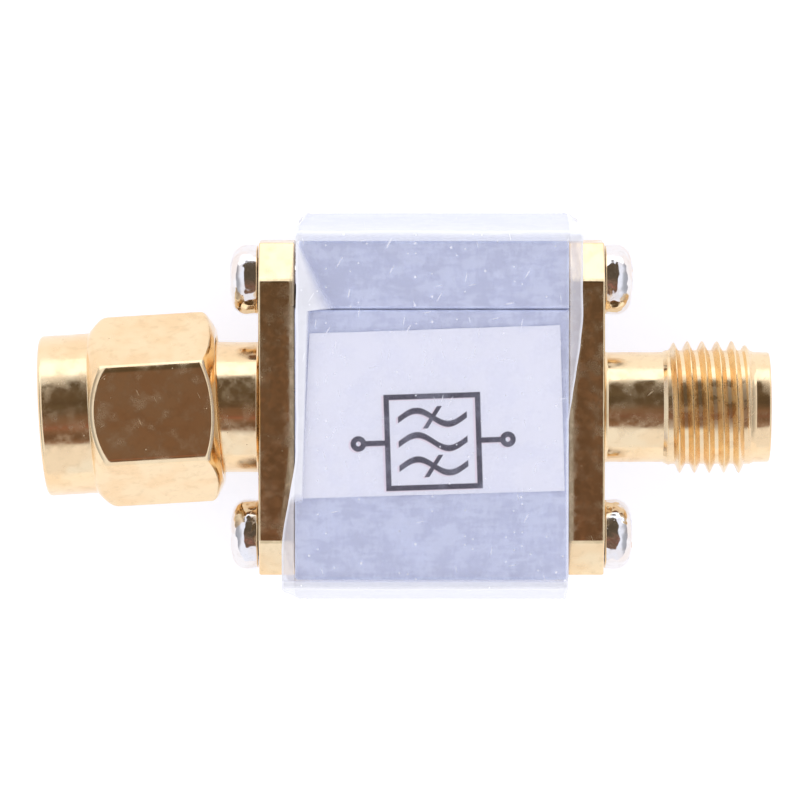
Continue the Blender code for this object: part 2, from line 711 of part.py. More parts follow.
def sleeve_ends(y, crease):
    """Where the slanting, hand-cut ends of the film lie at a given height."""
    half = HOUSING_LENGTH / 2 - SLEEVE_SETBACK * crease
    plug = half - SLEEVE_PLUG_SHORT
    plug += SLEEVE_FLARE * blend(-0.15 * BASE_BELOW_AXIS, -0.85 * BASE_BELOW_AXIS, y)
    jack = half - SLEEVE_JACK_SHORT
    jack += SLEEVE_FLARE * blend(-0.15 * HOUSING_TOP, 0.6 * HOUSING_TOP, y)
    return -plug, jack


def shrink_sleeve(finish):
    """Clear film tube round the housing, open at both ends."""
    bm = bmesh.new()
    walls = []
    for offset in (0, FILM_WALL):
        lines = []
        for y, z, crease in sleeve_section(offset):
            first, last = sleeve_ends(y, crease)
            stations = [first + (last - first) * step / 2 for step in range(3)]
            lines.append([bm.verts.new((x, y, AXIS_Z + z)) for x in stations])
        walls.append(lines)
    inside, outside = walls
    for at in range(len(inside)):
        after = (at + 1) % len(inside)
        for lines in walls:
            for step in range(2):
                near, far = lines[at], lines[after]
                bm.faces.new((near[step], far[step], far[step + 1], near[step + 1]))
        for end in (0, -1):
            bm.faces.new((inside[at][end], inside[after][end], outside[after][end], outside[at][end]))
    return add("shrink_sleeve", bm, finish)


def paper_label(finish):
    """Hand-cut paper slip on the housing's face, a little wider at its lower edge."""
    half, tall = HOUSING_LENGTH / 2 - LABEL_MARGIN, LABEL_TALL / 2
    corners = [(LABEL_TAPER / 2 - half, tall), (half - LABEL_TAPER / 2, tall)]
    corners += [(half + LABEL_TAPER / 2, -tall), (-half - LABEL_TAPER / 2, -tall)]
    turn = Matrix.Rotation(LABEL_TURN, 2)
    places = [turn @ Vector(corner) + Vector((LABEL_CENTRE, LABEL_CENTRE)) for corner in corners]
    low = AXIS_Z + HALF_DEPTH + SEAT_GAP
    loops = [[(place.x, place.y, z) for place in places] for z in (low, low + LABEL_THICK)]
    return add("paper_label", loft(loops), finish, smooth=False)


def build():
    clear_scene()
    gold = material("gold_plate", (0.83, 0.62, 0.33), 0.22, 1.0)
    nickel = material("nickel_plate", (0.8, 0.8, 0.82), 0.15, 1.0)
    aluminium = material("bare_aluminium", (0.66, 0.66, 0.72), 0.42, 1.0)
    film = material("clear_film", (0.86, 0.85, 0.93), 0.12, alpha=0.3)
    paper = material("label_paper", (0.88, 0.87, 0.93), 0.6)
    bead = material("white_bead", (0.93, 0.93, 0.91), 0.45)
    spring = material("spring_bronze", (0.72, 0.53, 0.3), 0.3, 1.0)
    silicone = material("red_silicone", (0.62, 0.12, 0.09), 0.5)
    laminate = material("green_laminate", (0.05, 0.25, 0.12), 0.4)
    solder = material("solder", (0.72, 0.72, 0.74), 0.25, 1.0)
    ceramic = material("ceramic", (0.32, 0.3, 0.29), 0.5)
    crystal = material("crystal", (0.75, 0.78, 0.8), 0.1)
    ferrite = material("ferrite", (0.1, 0.12, 0.14), 0.5)
    titanate = material("titanate", (0.55, 0.42, 0.28), 0.5)

    plug = frame_empty("plug_frame", (-FLANGE_AT, 0, AXIS_Z), (0, 0, math.pi))
    jack = frame_empty("jack_frame", (FLANGE_AT, 0, AXIS_Z))
    pivot_at = (-FLANGE_AT - NUT_BACK - NUT_PIVOT, 0, AXIS_Z)
    pivot = frame_empty("nut_axis", pivot_at, (0, NUT_LEAN, math.pi + NUT_DROOP))

    base = housing_base(aluminium)
    cover = housing_cover(aluminium)
    tap_holes((base, cover), (plug, jack))

    plug_body(gold, plug)
    dielectric("plug_dielectric", bead, plug, PLUG_FACE - SEAT_GAP)
    plug_pin(gold, plug)
    coupling_nut(gold, pivot)
    snap_ring(spring, plug)
    gasket(silicone, plug)

    jack_body(gold, jack)
    dielectric("jack_dielectric", bead, jack, JACK_FACE)
    jack_contact(gold, jack)

    # The plug's frame is turned half round, so its +Y side is the module's lower edge
    flange_screw("plug_screw_lower", nickel, plug, 1)
    flange_screw("plug_screw_upper", nickel, plug, -1)
    flange_screw("jack_screw_upper", nickel, jack, 1)
    flange_screw("jack_screw_lower", nickel, jack, -1)

    filter_board(laminate)
    solder_joint("solder_joint_plug", solder, plug)
    solder_joint("solder_joint_jack", solder, jack)
    saw_device(ceramic, crystal, gold)
    chip_parts(ferrite, titanate)

    paper_label(paper)
    shrink_sleeve(film)


build()
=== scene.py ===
"""Looks of an inline surface acoustic wave filter module, built around its solid frame.

Laid out as a Blender add-on and run as a script. Lengths are in metres: +X runs along the
connectors' axis to the jack, +Y to the housing's cover, and +Z out of the label.
"""

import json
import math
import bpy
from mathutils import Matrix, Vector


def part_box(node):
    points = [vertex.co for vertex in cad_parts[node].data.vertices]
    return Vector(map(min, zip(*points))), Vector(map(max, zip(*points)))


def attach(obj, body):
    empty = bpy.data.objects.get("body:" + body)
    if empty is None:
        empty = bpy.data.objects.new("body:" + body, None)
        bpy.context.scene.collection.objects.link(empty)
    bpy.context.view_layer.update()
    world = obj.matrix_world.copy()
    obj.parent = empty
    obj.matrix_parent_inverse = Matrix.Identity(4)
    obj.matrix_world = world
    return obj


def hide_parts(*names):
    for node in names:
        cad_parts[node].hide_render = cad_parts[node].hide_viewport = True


bl_info = {
    "name": "Surface Acoustic Wave Filter Module",
    "version": (1, 0, 0),
    "blender": (4, 5, 0),
    "location": "3D View > Sidebar > Filter Module",
    "description": "Gold connectors, screws, film sleeve and label of an inline filter module",
    "category": "Object",
}

import bmesh
import bpy
from bpy.props import FloatProperty, FloatVectorProperty, PointerProperty
from mathutils import Matrix, Vector, noise

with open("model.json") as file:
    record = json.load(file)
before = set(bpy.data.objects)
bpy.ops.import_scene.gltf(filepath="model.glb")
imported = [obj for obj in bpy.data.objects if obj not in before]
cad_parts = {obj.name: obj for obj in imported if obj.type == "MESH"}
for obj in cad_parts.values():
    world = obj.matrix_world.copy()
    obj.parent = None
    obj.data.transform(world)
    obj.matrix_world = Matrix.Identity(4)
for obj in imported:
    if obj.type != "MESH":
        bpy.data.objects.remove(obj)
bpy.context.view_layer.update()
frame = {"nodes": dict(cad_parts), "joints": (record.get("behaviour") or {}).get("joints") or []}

MM = 0.001
TAU = 2 * math.pi

# Places taken from the frame
NUT_JOINT = frame["joints"][0]
PIVOT = Vector(NUT_JOINT["pos_m"])
AXIS_Z = PIVOT.z
PLUG_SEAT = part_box("plug_body")[1].x
JACK_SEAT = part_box("jack_body")[0].x
HOUSING_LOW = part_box("housing_base")[0]
BASE_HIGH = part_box("housing_base")[1]
HOUSING_HIGH = Vector((BASE_HIGH.x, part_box("housing_cover")[1].y, BASE_HIGH.z))
LABEL_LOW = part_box("paper_label")[0]
SLEEVE_LOW, SLEEVE_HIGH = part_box("shrink_sleeve")
HALF_DEPTH = (HOUSING_HIGH.z - HOUSING_LOW.z) / 2

# Flanges
FLANGE_TALL = 15.88 * MM
FLANGE_DEEP = 5.72 * MM
FLANGE_THICK = 1.72 * MM
FLANGE_CUT = (1.78 * MM, 1.48 * MM)
FLANGE_EDGE = 0.1 * MM
FLANGE_CORNER = 0.14 * MM
FLANGE_HOLE_R = 1.3 * MM
SCREW_SPACING = 12.22 * MM

# Coaxial line
PIN_R = 0.457 * MM
CONTACT_R = 0.635 * MM
SOCKET_R = 0.482 * MM
SOCKET_DEEP = 2.6 * MM
SLOT_WIDE = 0.16 * MM
SLOT_LONG = 2.0 * MM
TAIL_LONG = 2.0 * MM
BEAD_R = 2.0 * MM
BEAD_HOLE_R = 0.685 * MM
BORE_R = 2.05 * MM

# Plug
NECK_R = 3.125 * MM
NECK_LONG = 2.23 * MM
SPIGOT_R = 2.55 * MM
SPIGOT_LONG = 2.85 * MM
TUBE_R = 2.295 * MM
TUBE_LONG = 2.4 * MM
GROOVE_R = 2.3 * MM
GROOVE_WIDE = 0.5 * MM
PIN_REACH = 2.0 * MM
GASKET_THICK = 0.45 * MM
GASKET_TALL = 0.3 * MM
SEAT_GAP = 0.05 * MM

# Jack
JACK_R = 2.635 * MM
JACK_NECK_LONG = 3.03 * MM
JACK_FILLET = 0.2 * MM
JACK_THREAD_TURNS = 5.625
JACK_THREAD_TURN = TAU * 7 / 32
JACK_END_LONG = 0.93 * MM
COUNTERBORE_R = 2.345 * MM
COUNTERBORE_DEEP = 1.93 * MM
THREAD_CONE = 0.22 * MM

# Coupling nut, along its own axis from its back face
NUT_END_PLAY = 0.32 * MM
NUT_LONG = 8.45 * MM
NUT_NECK_ROOM = 0.68 * MM
NUT_NECK_ROOM_R = 3.325 * MM
NUT_LIP_LONG = 0.9 * MM
NUT_LIP_R = 2.75 * MM
NUT_ROOM_LONG = 1.1 * MM
NUT_ROOM_R = 3.3 * MM
NUT_LAND_LONG = 0.5 * MM
NUT_LAND_R = 2.95 * MM
NUT_MOUTH = 0.35 * MM
NUT_MOUTH_R = 3.35 * MM
NUT_THREAD_TURNS = 5.75
NUT_THREAD_ROOT_R = 2.85 * MM
NUT_THREAD_CREST_R = 3.2 * MM
COLLAR_LONG = 2.4 * MM
COLLAR_R = 3.83 * MM
COLLAR_EDGE = 0.22 * MM
HEX_BACK_R = 3.68 * MM
HEX_FRONT_R = 3.85 * MM
HEX_TOP_R = 4.75 * MM
HEX_BACK_CHAMFER = 0.74 * MM
HEX_FRONT_CHAMFER = 1.02 * MM
HEX_SWELL = 0.4
NUT_TURN = math.radians(1.5)

# Screws
SCREW_R = 1.0 * MM
SCREW_LONG = 5.0 * MM
HEAD_R = 1.72 * MM
HEAD_TALL = 1.33 * MM
HEAD_ROUND = 0.75 * MM
RECESS_SPAN = 1.9 * MM
RECESS_SLOT = 0.42 * MM
RECESS_DEEP = 0.75 * MM

# Film and label
FILM_OUT = HOUSING_LOW.z - SLEEVE_LOW.z
CREASE_TOP = SLEEVE_HIGH.y - HOUSING_HIGH.y
CREASE_LOW = HOUSING_LOW.y - SLEEVE_LOW.y
LABEL_LOWER_EDGE = ((-6.12 * MM, -3.94 * MM), (6.26 * MM, -3.58 * MM))
LABEL_UPPER_EDGE = ((-5.76 * MM, 3.84 * MM), (6.03 * MM, 4.25 * MM))
LABEL_THICK = 0.07 * MM
LABEL_TURN = math.radians(1.8)
PRINT_CENTRE = (0.06 * MM, -1.25 * MM)
# White of the milky film and of its painted highlights.
FILM_MILK_AND_SHEEN = (0.98, 0.98, 1.0)
GHOST_TINT = (0.9, 0.55, 0.6)

# Stage
FLOOR_HALF = 6.0
FLOOR_DROP = 0.02 * MM
FLOOR_GREY = (0.5, 0.5, 0.5)
FLOOR_GLOW = (0.3, 0.3, 0.3)
FLOOR_GLOW_SEEN = (0.64, 0.65, 0.71)
LAMP_PLACE = Vector((0, 0.3, 0.078))
LAMP_SIZE = (0.8, 0.155)
LAMP_TINT = (0.82, 0.9, 1.0)
OPENING_LEAN = 0.2
OPENING_RISE = 0.9
OPENING_ACROSS = 0.38
OPENING_OLIVE = (0.13, 0.1, 0.07)
OPENING_BROWN = (0.26, 0.158, 0.115)
OPENING_RUST = (0.36, 0.16, 0.12)
OPENING_DARK = (0.07, 0.05, 0.035)
TENT_ENDS = 0.45
DIFFUSE_SHARE = 0.93
DIFFUSE_BLUE = 1.07
SENSOR_WIDE = 36.0
LENS_LONG = 282.1
AIM = Vector((-1.5 * MM, 0.336 * MM, AXIS_Z))

# Sides of turned shapes
SIDES = 160
HEX_SIDES = 720
SCREW_SIDES = 96
SMALL_SIDES = 72


class FilterSizes(bpy.types.PropertyGroup):
    """Sizes that a user would change."""

    thread_pitch: FloatProperty(
        name="Thread Pitch", description="Advance of the thread in one turn",
        default=0.7056 * MM, unit="LENGTH", precision=5)
    thread_root: FloatProperty(
        name="Thread Root Radius", description="Root radius of the jack's thread",
        default=2.72 * MM, unit="LENGTH", precision=5)
    thread_crest: FloatProperty(
        name="Thread Crest Radius", description="Outer radius of the jack's thread",
        default=3.15 * MM, unit="LENGTH", precision=5)
    across_flats: FloatProperty(
        name="Across Flats", description="Width of the coupling nut across its flats",
        default=8.0 * MM, unit="LENGTH", precision=5)
    corner_softness: FloatProperty(
        name="Corner Softness", description="How wide the nut's edges are rounded",
        default=0.3 * MM, unit="LENGTH", precision=5)
    film_wall: FloatProperty(
        name="Film Wall", description="Thickness of the shrink film",
        default=0.1 * MM, unit="LENGTH", precision=5)
    film_wave: FloatProperty(
        name="Film Wave", description="Height of the film's slow waves",
        default=0.05 * MM, unit="LENGTH", precision=5)
    paper_wave: FloatProperty(
        name="Paper Wave", description="How far the label's paper lifts in places",
        default=0.02 * MM, unit="LENGTH", precision=5)


class FilterFinishes(bpy.types.PropertyGroup):
    """Colours and gloss of the finishes."""

    gold: FloatVectorProperty(
        name="Gold", description="Colour of the gold plating",
        default=(0.93, 0.715, 0.43), subtype="COLOR", size=3)
    gold_roughness: FloatProperty(
        name="Gold Roughness", description="Roughness of the polished plating",
        default=0.15, min=0, max=1)
    nickel: FloatVectorProperty(
        name="Nickel", description="Colour of the nickel-plated screws",
        default=(0.87, 0.83, 0.79), subtype="COLOR", size=3)
    aluminium: FloatVectorProperty(
        name="Aluminium", description="Colour of the milled housing",
        default=(0.78, 0.82, 0.99), subtype="COLOR", size=3)
    film: FloatVectorProperty(
        name="Film", description="Colour of the film's haze",
        default=(0.84, 0.85, 0.97), subtype="COLOR", size=3)
    film_haze: FloatProperty(
        name="Film Haze", description="How much of what lies behind one face of the film it hides",
        default=0.055, min=0, max=1)
    paper: FloatVectorProperty(
        name="Paper", description="Colour of the label's paper",
        default=(0.95, 0.95, 1.0), subtype="COLOR", size=3)
    ink: FloatVectorProperty(
        name="Ink", description="Colour of the print on the label",
        default=(0.028, 0.022, 0.042), subtype="COLOR", size=3)


class FilterStage(bpy.types.PropertyGroup):
    """Light and camera."""

    camera_distance: FloatProperty(
        name="Camera Distance", description="From the camera to the middle of the module",
        default=300 * MM, unit="LENGTH")
    camera_tilt: FloatProperty(
        name="Camera Tilt", description="How far the camera leans towards the cover",
        default=math.radians(4.2), subtype="ANGLE")
    world_level: FloatProperty(
        name="World Level", description="Brightness of the white surroundings",
        default=1.0, min=0)
    upper_box: FloatProperty(
        name="Upper Softbox", description="Radiance of the softbox beyond the cover",
        default=0.7, min=0)
    cool_cast: FloatVectorProperty(
        name="Cool Cast", description="Tint of the white surroundings in reflections",
        default=(0.97, 1.03, 1.2), subtype="COLOR", size=3, max=1.5)


class Value:
    """A number in a node tree. Arithmetic on it adds Math nodes."""

    def __init__(self, maker, socket):
        self.maker = maker
        self.socket = socket

    def __add__(self, other):
        return self.maker.math("ADD", self, other)

    def __radd__(self, other):
        return self.maker.math("ADD", other, self)

    def __sub__(self, other):
        return self.maker.math("SUBTRACT", self, other)

    def __rsub__(self, other):
        return self.maker.math("SUBTRACT", other, self)

    def __mul__(self, other):
        return self.maker.math("MULTIPLY", self, other)

    def __rmul__(self, other):
        return self.maker.math("MULTIPLY", other, self)

    def __truediv__(self, other):
        return self.maker.math("DIVIDE", self, other)

    def __rtruediv__(self, other):
        return self.maker.math("DIVIDE", other, self)

    def __pow__(self, other):
        return self.maker.math("POWER", self, other)

    def __abs__(self):
        return self.maker.math("ABSOLUTE", self)

    def least(self, other):
        return self.maker.math("MINIMUM", self, other)

    def most(self, other):
        return self.maker.math("MAXIMUM", self, other)

    def fraction(self):
        return self.maker.math("FRACT", self)

    def whole(self):
        return self.maker.math("FLOOR", self)

    def sine(self):
        return self.maker.math("SINE", self)

    def cosine(self):
        return self.maker.math("COSINE", self)

    def unit(self):
        return self.most(0).least(1)


class Outputs:
    """The output sockets of one node, by name or number."""

    def __init__(self, maker, node):
        self.maker = maker
        self.node = node

    def __getitem__(self, key):
        return Value(self.maker, self.node.outputs[key])


class Maker:
    """Adds nodes to one node tree."""

    def __init__(self, tree):
        self.tree = tree

    def node(self, kind, settings=None, sockets=None):
        made = self.tree.nodes.new(kind)
        for name, value in (settings or {}).items():
            setattr(made, name, value)
        for name, value in (sockets or {}).items():
            self.feed(made.inputs[name], value)
        return Outputs(self, made)

    def feed(self, socket, value):
        if isinstance(value, Value):
            self.tree.links.new(value.socket, socket)
        else:
            socket.default_value = value

    def math(self, operation, *values):
        return self.node("ShaderNodeMath", {"operation": operation}, dict(enumerate(values)))[0]

    def step(self, value, start, end):
        """Smooth step from 0 at start to 1 at end."""
        sockets = {"Value": value, "From Min": start, "From Max": end}
        return self.node("ShaderNodeMapRange", {"interpolation_type": "SMOOTHSTEP"}, sockets)[0]

    def mix(self, share, first, second):
        """Colour between two colours, each of which is a link or three numbers."""
        first, second = (end if isinstance(end, Value) else (*end, 1) for end in (first, second))
        sockets = {0: share, 6: first, 7: second}
        return self.node("ShaderNodeMix", {"data_type": "RGBA"}, sockets)[2]

    def split(self, vector):
        parts = self.node("ShaderNodeSeparateXYZ", {}, {"Vector": vector})
        return parts[0], parts[1], parts[2]

    def join(self, x, y, z):
        return self.node("ShaderNodeCombineXYZ", {}, {"X": x, "Y": y, "Z": z})[0]


class Finish(Maker):
    """A material on one Principled shader, with patterns in millimetres."""

    def __init__(self, name, colour, roughness, metallic=0.0, **constants):
        self.material = bpy.data.materials.new(name)
        self.material.use_nodes = True
        super().__init__(self.material.node_tree)
        self.shader = self.tree.nodes["Principled BSDF"]
        self.shader.inputs["Base Color"].default_value = (*colour, 1.0)
        self.shader.inputs["Roughness"].default_value = roughness
        self.shader.inputs["Metallic"].default_value = metallic
        for socket, value in constants.items():
            self.shader.inputs[socket.replace("_", " ")].default_value = value
        place = self.node("ShaderNodeTexCoord")["Object"]
        self.place = self.node("ShaderNodeVectorMath", {"operation": "SCALE"},
                               {0: place, "Scale": 1 / MM})[0]

    def set(self, socket, value):
        self.feed(self.shader.inputs[socket], value)

    def stretched(self, x, y, z):
        """Coordinates for a pattern that is drawn out or squeezed along the axes."""
        return self.node("ShaderNodeVectorMath", {"operation": "MULTIPLY"},
                         {0: self.place, 1: (x, y, z)})[0]

    def grain(self, scale, vector=None, detail=2.0, rough=0.5):
        """Noise about 0.5, with its size set per millimetre."""
        sockets = {"Vector": vector or self.place, "Scale": scale, "Detail": detail, "Roughness": rough}
        return self.node("ShaderNodeTexNoise", {}, sockets)[0]

    def spots(self, scale, radius, share, vector=None, flat=False):
        """Sparse round spots, 1 inside a spot and 0 outside; flat ones look at X and Y only."""
        sockets = {"Vector": vector or self.place, "Scale": scale}
        cells = self.node("ShaderNodeTexVoronoi", {"voronoi_dimensions": "2D" if flat else "3D"}, sockets)
        chosen = self.split(cells["Color"])[0]
        keep = self.math("LESS_THAN", chosen, share)
        return (1 - self.step(cells["Distance"], radius * 0.4, radius)) * keep

    def scratches(self, scale, angle, share, flat=False):
        """Short thin strokes at one angle in the XY plane."""
        turned = self.node("ShaderNodeMapping", {"vector_type": "TEXTURE"}, {
            "Vector": self.place, "Rotation": (0, 0, angle),
            "Scale": (1 / scale, 1 / (9 * scale), 1 / scale)})[0]
        return self.spots(1.0, 0.34, share, turned, flat)

    def bump(self, microns):
        """Raise the surface by a height in thousandths of a millimetre."""
        sockets = {"Strength": 1.0, "Distance": MM * MM, "Height": microns}
        self.set("Normal", self.node("ShaderNodeBump", {}, sockets)["Normal"])


def tinted(colour, *levels):
    """A colour scaled by one level, or by one level for each channel."""
    levels = levels * 3 if len(levels) == 1 else levels
    return tuple(share * level for share, level in zip(colour, levels))


def polished_metal(name, colour, roughness, turned=False, ripple=3.0, waves=0.55, satin=None):
    """Plated metal: polished, with dull swirls, pits and specks, turning marks and a satin stretch of X,
    and a painted darker, mottled shade on the flanges' upward faces.
    """
    made = Finish(name, colour, roughness, 1.0)
    x, y, z = made.split(made.place)
    cloud = made.grain(waves, detail=2.0)
    swirl = made.grain(1.2, detail=4.0, rough=0.6)
    fine = made.grain(6.0, detail=3.0)
    pits = made.spots(1.1, 0.07, 0.16)
    dust = made.spots(1.7, 0.08, 0.13) + made.spots(3.1, 0.13, 0.08)
    hairs = made.scratches(1.3, 0.7, 0.01) + made.scratches(1.5, 2.0, 0.01)
    mottle = made.grain(2.2, detail=3.0, rough=0.6)
    red = tinted(colour, 0.97, 0.87, 0.78)
    stain = tinted(colour, 0.62, 0.54, 0.46)
    # Painted shade: the flanges' upward faces (z above 8.1 mm) get a darker, mottled tone that stands in
    # for the dark they reflect.
    painted_dark_front = tinted(colour, 0.7, 0.69, 0.65)
    plate = made.step(z, 8.1, 8.2) * made.step(abs(x), 8.2, 8.1)
    tone = made.mix(made.step(cloud, 0.4, 0.62) * 0.6, colour, red)
    tone = made.mix(plate * (0.5 + made.step(mottle, 0.35, 0.6) * 0.7), tone, painted_dark_front)
    worn = (pits * 0.6 + made.step(mottle, 0.5, 0.7) * 0.16).unit()
    made.set("Base Color", made.mix(worn, tone, stain))
    dull = made.step(swirl, 0.4, 0.64)
    rough = roughness * (0.35 + dull * 1.1 + mottle * 0.7) + (fine - 0.5) * 0.06
    rough = rough + pits * 0.15 + dust * 0.5 + hairs * 0.25
    if satin:
        start, end = satin
        rough = rough + made.step(x, start - 0.1, start + 0.1) * made.step(x, end + 0.1, end - 0.1) * 0.08
    made.set("Roughness", rough)
    height = (cloud - 0.5) * ripple + (swirl - 0.5) * 1.2 + (fine - 0.5) * 0.2 - pits * 5.0
    if turned:
        rings = made.grain(9.0, made.stretched(1.0, 0.02, 0.02), detail=2.0)
        height = height + (rings - 0.5) * 0.35
    made.bump(height)
    return made.material


def milled_aluminium(finishes):
    """Scuffed milled aluminium: faintly patchy tone, fine strokes both ways and small dents."""
    made = Finish("bare_aluminium", finishes.aluminium, 0.52, 0.35)
    colour = finishes.aluminium
    blotch = made.grain(0.9, detail=5.0, rough=0.62)
    upright = made.grain(5.0, made.stretched(1.0, 0.4, 1.0), detail=4.0)
    level = made.grain(4.0, made.stretched(0.25, 1.0, 1.0), detail=3.0)
    nicks = made.spots(1.5, 0.08, 0.3)
    pale = tuple(min(1, share) for share in tinted(colour, 1.05))
    patchy = made.step(blotch * 0.4 + upright * 0.25 + level * 0.35, 0.44, 0.56)
    tone = made.mix(patchy, tinted(colour, 0.91), pale)
    made.set("Base Color", made.mix(nicks * 0.3, tone, tinted(colour, 0.6)))
    made.set("Roughness", 0.52 + (blotch - 0.5) * 0.2 + (upright - 0.5) * 0.1)
    made.bump((upright - 0.5) * 1.2 + (level - 0.5) * 1.5 + (blotch - 0.5) * 3.0 - nicks * 5.0)
    return made.material


def clear_film(finishes):
    """Thin glossy film, nearly clear where it clings, milky where it is loose or seen edge-on, with painted
    white highlights on its cut ends, on the bands over the housing's top and bottom, in a strip at the plug
    end and in glints among its scuffs.
    """
    made = Finish("clear_film", finishes.film, 0.16, IOR=1.45)
    x, y, z = made.split(made.place)
    front = made.step(z, 10.2, 10.4)
    edge_on = made.node("ShaderNodeLayerWeight", {}, {"Blend": 0.32})["Facing"]
    cut_edge = made.node("ShaderNodeAttribute", {"attribute_name": "cut_edge"})["Fac"]
    half = HOUSING_HIGH.x / MM
    loose = made.step(abs(x), half - 0.02, half + 0.1)
    # Painted highlight: a white, nearly opaque strip on the front at the plug end stands in for the film's
    # reflection where it curves there.
    upper = made.step(y, 4.9, 5.05)
    slant = upper * (0.25 + (8.0 - y) * 0.58) + (1 - upper) * (0.38 + (y + 4.0) * 0.032)
    painted_sheen_strip = (1 - made.step(x + half, slant * (0.8 - upper * 0.35), slant * 1.08)) * front
    painted_sheen_strip = painted_sheen_strip * made.step(y, -4.3, -3.6) * (1 - made.step(y, 7.9, 8.3))
    # Scuff strokes on the front, whitened and made more opaque: part real scuffs, part painted glints.
    scuffs_and_glints = made.scratches(1.2, 1.4, 0.006, True) + made.scratches(1.5, 1.8, 0.006, True)
    scuffs_and_glints = scuffs_and_glints + made.scratches(1.0, 1.05, 0.004, True) + made.scratches(1.3, 0.2, 0.003, True)
    specks = made.spots(1.2, 0.1, 0.08, None, True) + made.spots(2.6, 0.14, 0.09, None, True)
    patches = made.step(made.grain(0.75, detail=4.0, rough=0.6), 0.46, 0.6)
    high, low = HOUSING_HIGH.y / MM, HOUSING_LOW.y / MM
    # Painted reflection: the bands where the film turns over the housing's top and bottom are whitened;
    # rims takes part of that white off again on the crease above the cover.
    sides = made.step(y, high - 0.05, high + 0.03) + made.step(y, low - 0.02, low - 0.12)
    bends = made.step(y, high - 0.02, high + 0.04) + made.step(y, low - 0.01, low - 0.05)
    bends = bends * made.step(z, 9.9, 10.2)
    rims = made.step(y, high + 0.3, high + 0.8) * 0.45
    haze = finishes.film_haze
    alpha = haze * (0.45 + patches * 0.9) + edge_on * (0.5 + sides * 0.5) + painted_sheen_strip * 0.8 + loose * 0.3
    # cut_edge: a painted highlight, white and more opaque, along the film's cut ends.
    alpha = alpha + cut_edge * 0.5 + bends * 0.4
    alpha = alpha + (scuffs_and_glints.unit() * 0.4 + specks * 0.5) * front * made.step(abs(x), half, half - 0.1)
    made.set("Alpha", alpha.unit())
    # The white mixed in: painted highlights (strip, glints, cut ends, roof bands), real scuffs and specks,
    # and the milky loose film.
    pale = (painted_sheen_strip + scuffs_and_glints + specks + cut_edge + sides - rims + loose * 0.5).unit()
    made.set("Base Color", made.mix(pale, finishes.film, FILM_MILK_AND_SHEEN))
    ripple = made.grain(1.3, detail=3.0)
    made.bump((ripple - 0.5) * 7.0 + scuffs_and_glints)
    return made.material


def band_pass_symbol(made, across, up):
    """Mask of a schematic band-pass filter: a framed box with three waves, two of them struck out."""
    half, line = 2.15, 0.25
    box = abs(across).most(abs(up))
    frame_line = 1 - made.step(abs(box - half), line * 0.4, line * 0.62)
    inside = 1 - made.step(box, half - 0.55, half - 0.5)
    mask = frame_line
    for level in (1.15, 0.0, -1.15):
        wave = level - (across * (TAU / 3.0)).sine() * 0.33
        mask = mask.most((1 - made.step(abs(up - wave), line * 0.45, line * 0.75)) * inside)
    for level in (1.15, -1.15):
        lean = abs((up - level) - across * 1.5)
        near = 1 - made.step(abs(up - level), 0.5, 0.54)
        mask = mask.most((1 - made.step(lean, line * 0.55, line * 0.85)) * near)
    wire = (1 - made.step(abs(up), line * 0.4, line * 0.62)) * made.step(abs(across), half - 0.02, half)
    mask = mask.most(wire * (1 - made.step(abs(across), 3.28, 3.3)))
    ring = ((abs(across) - 3.52) * (abs(across) - 3.52) + up * up) ** 0.5
    return mask.most(1 - made.step(abs(ring - 0.24), line * 0.4, line * 0.62))


def printed_paper(finishes, centre):
    """White paper slip with a printed schematic symbol and a faint warm ghost of it."""
    made = Finish("label_paper", finishes.paper, 0.62)
    turned = made.node("ShaderNodeMapping", {"vector_type": "TEXTURE"}, {
        "Vector": made.place, "Location": centre, "Rotation": (0, 0, LABEL_TURN)})[0]
    x, y, z = made.split(turned)
    face = made.step(z, -0.05, -0.02)
    print_mask = band_pass_symbol(made, x, y) * face
    ghost = band_pass_symbol(made, x + 0.1, y + 0.05) * face
    fibre = made.grain(5.0, detail=4.0, rough=0.7)
    cloud = made.grain(0.5, detail=2.0)
    paper = finishes.paper
    tone = made.mix((cloud * 0.6 + fibre * 0.4).unit(), tinted(paper, 0.96), paper)
    warm = made.mix(ghost * 0.32, tone, GHOST_TINT)
    worn = print_mask * (0.88 + fibre * 0.12)
    dirt = made.spots(0.42, 0.06, 0.3) * 0.35
    made.set("Base Color", made.mix((worn + dirt).unit(), warm, finishes.ink))
    made.bump((fibre - 0.5) * 3.0)
    return made.material


def plain_finish(name, colour, roughness, metallic=0.0, scale=3.0, spread=0.12, microns=2.0):
    """A small inner part's finish: tone and gloss that vary a little, and a fine tooth."""
    made = Finish(name, colour, roughness, metallic)
    cloud = made.grain(scale, detail=4.0)
    made.set("Base Color", made.mix(cloud, tinted(colour, 1 - 2 * spread), colour))
    made.set("Roughness", roughness + (cloud - 0.5) * 0.2)
    made.bump((made.grain(scale * 4, detail=3.0) - 0.5) * microns)
    return made.material


def as_object(name, bm):
    """Object in the scene made of a bmesh, which is used up."""
    mesh = bpy.data.meshes.new(name)
    bm.to_mesh(mesh)
    bm.free()
    made = bpy.data.objects.new(name, mesh)
    bpy.context.scene.collection.objects.link(made)
    return made


def finished(thing):
    """Bmesh of an object with its modifiers applied."""
    bpy.context.view_layer.update()
    graph = bpy.context.evaluated_depsgraph_get()
    made = bmesh.new()
    made.from_mesh(bpy.data.meshes.new_from_object(thing.evaluated_get(graph)))
    return made


def add_piece(name, bm, finish, body, nodes, sharp=32):
    """Show a finished bmesh as a piece that rides on a body and stands for its solid nodes."""
    bmesh.ops.recalc_face_normals(bm, faces=bm.faces)
    piece = as_object(name, bm)
    piece.data.materials.clear()
    piece.data.materials.append(finish)
    piece.data.set_sharp_from_angle(angle=math.radians(sharp))
    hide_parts(*nodes)
    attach(piece, body)


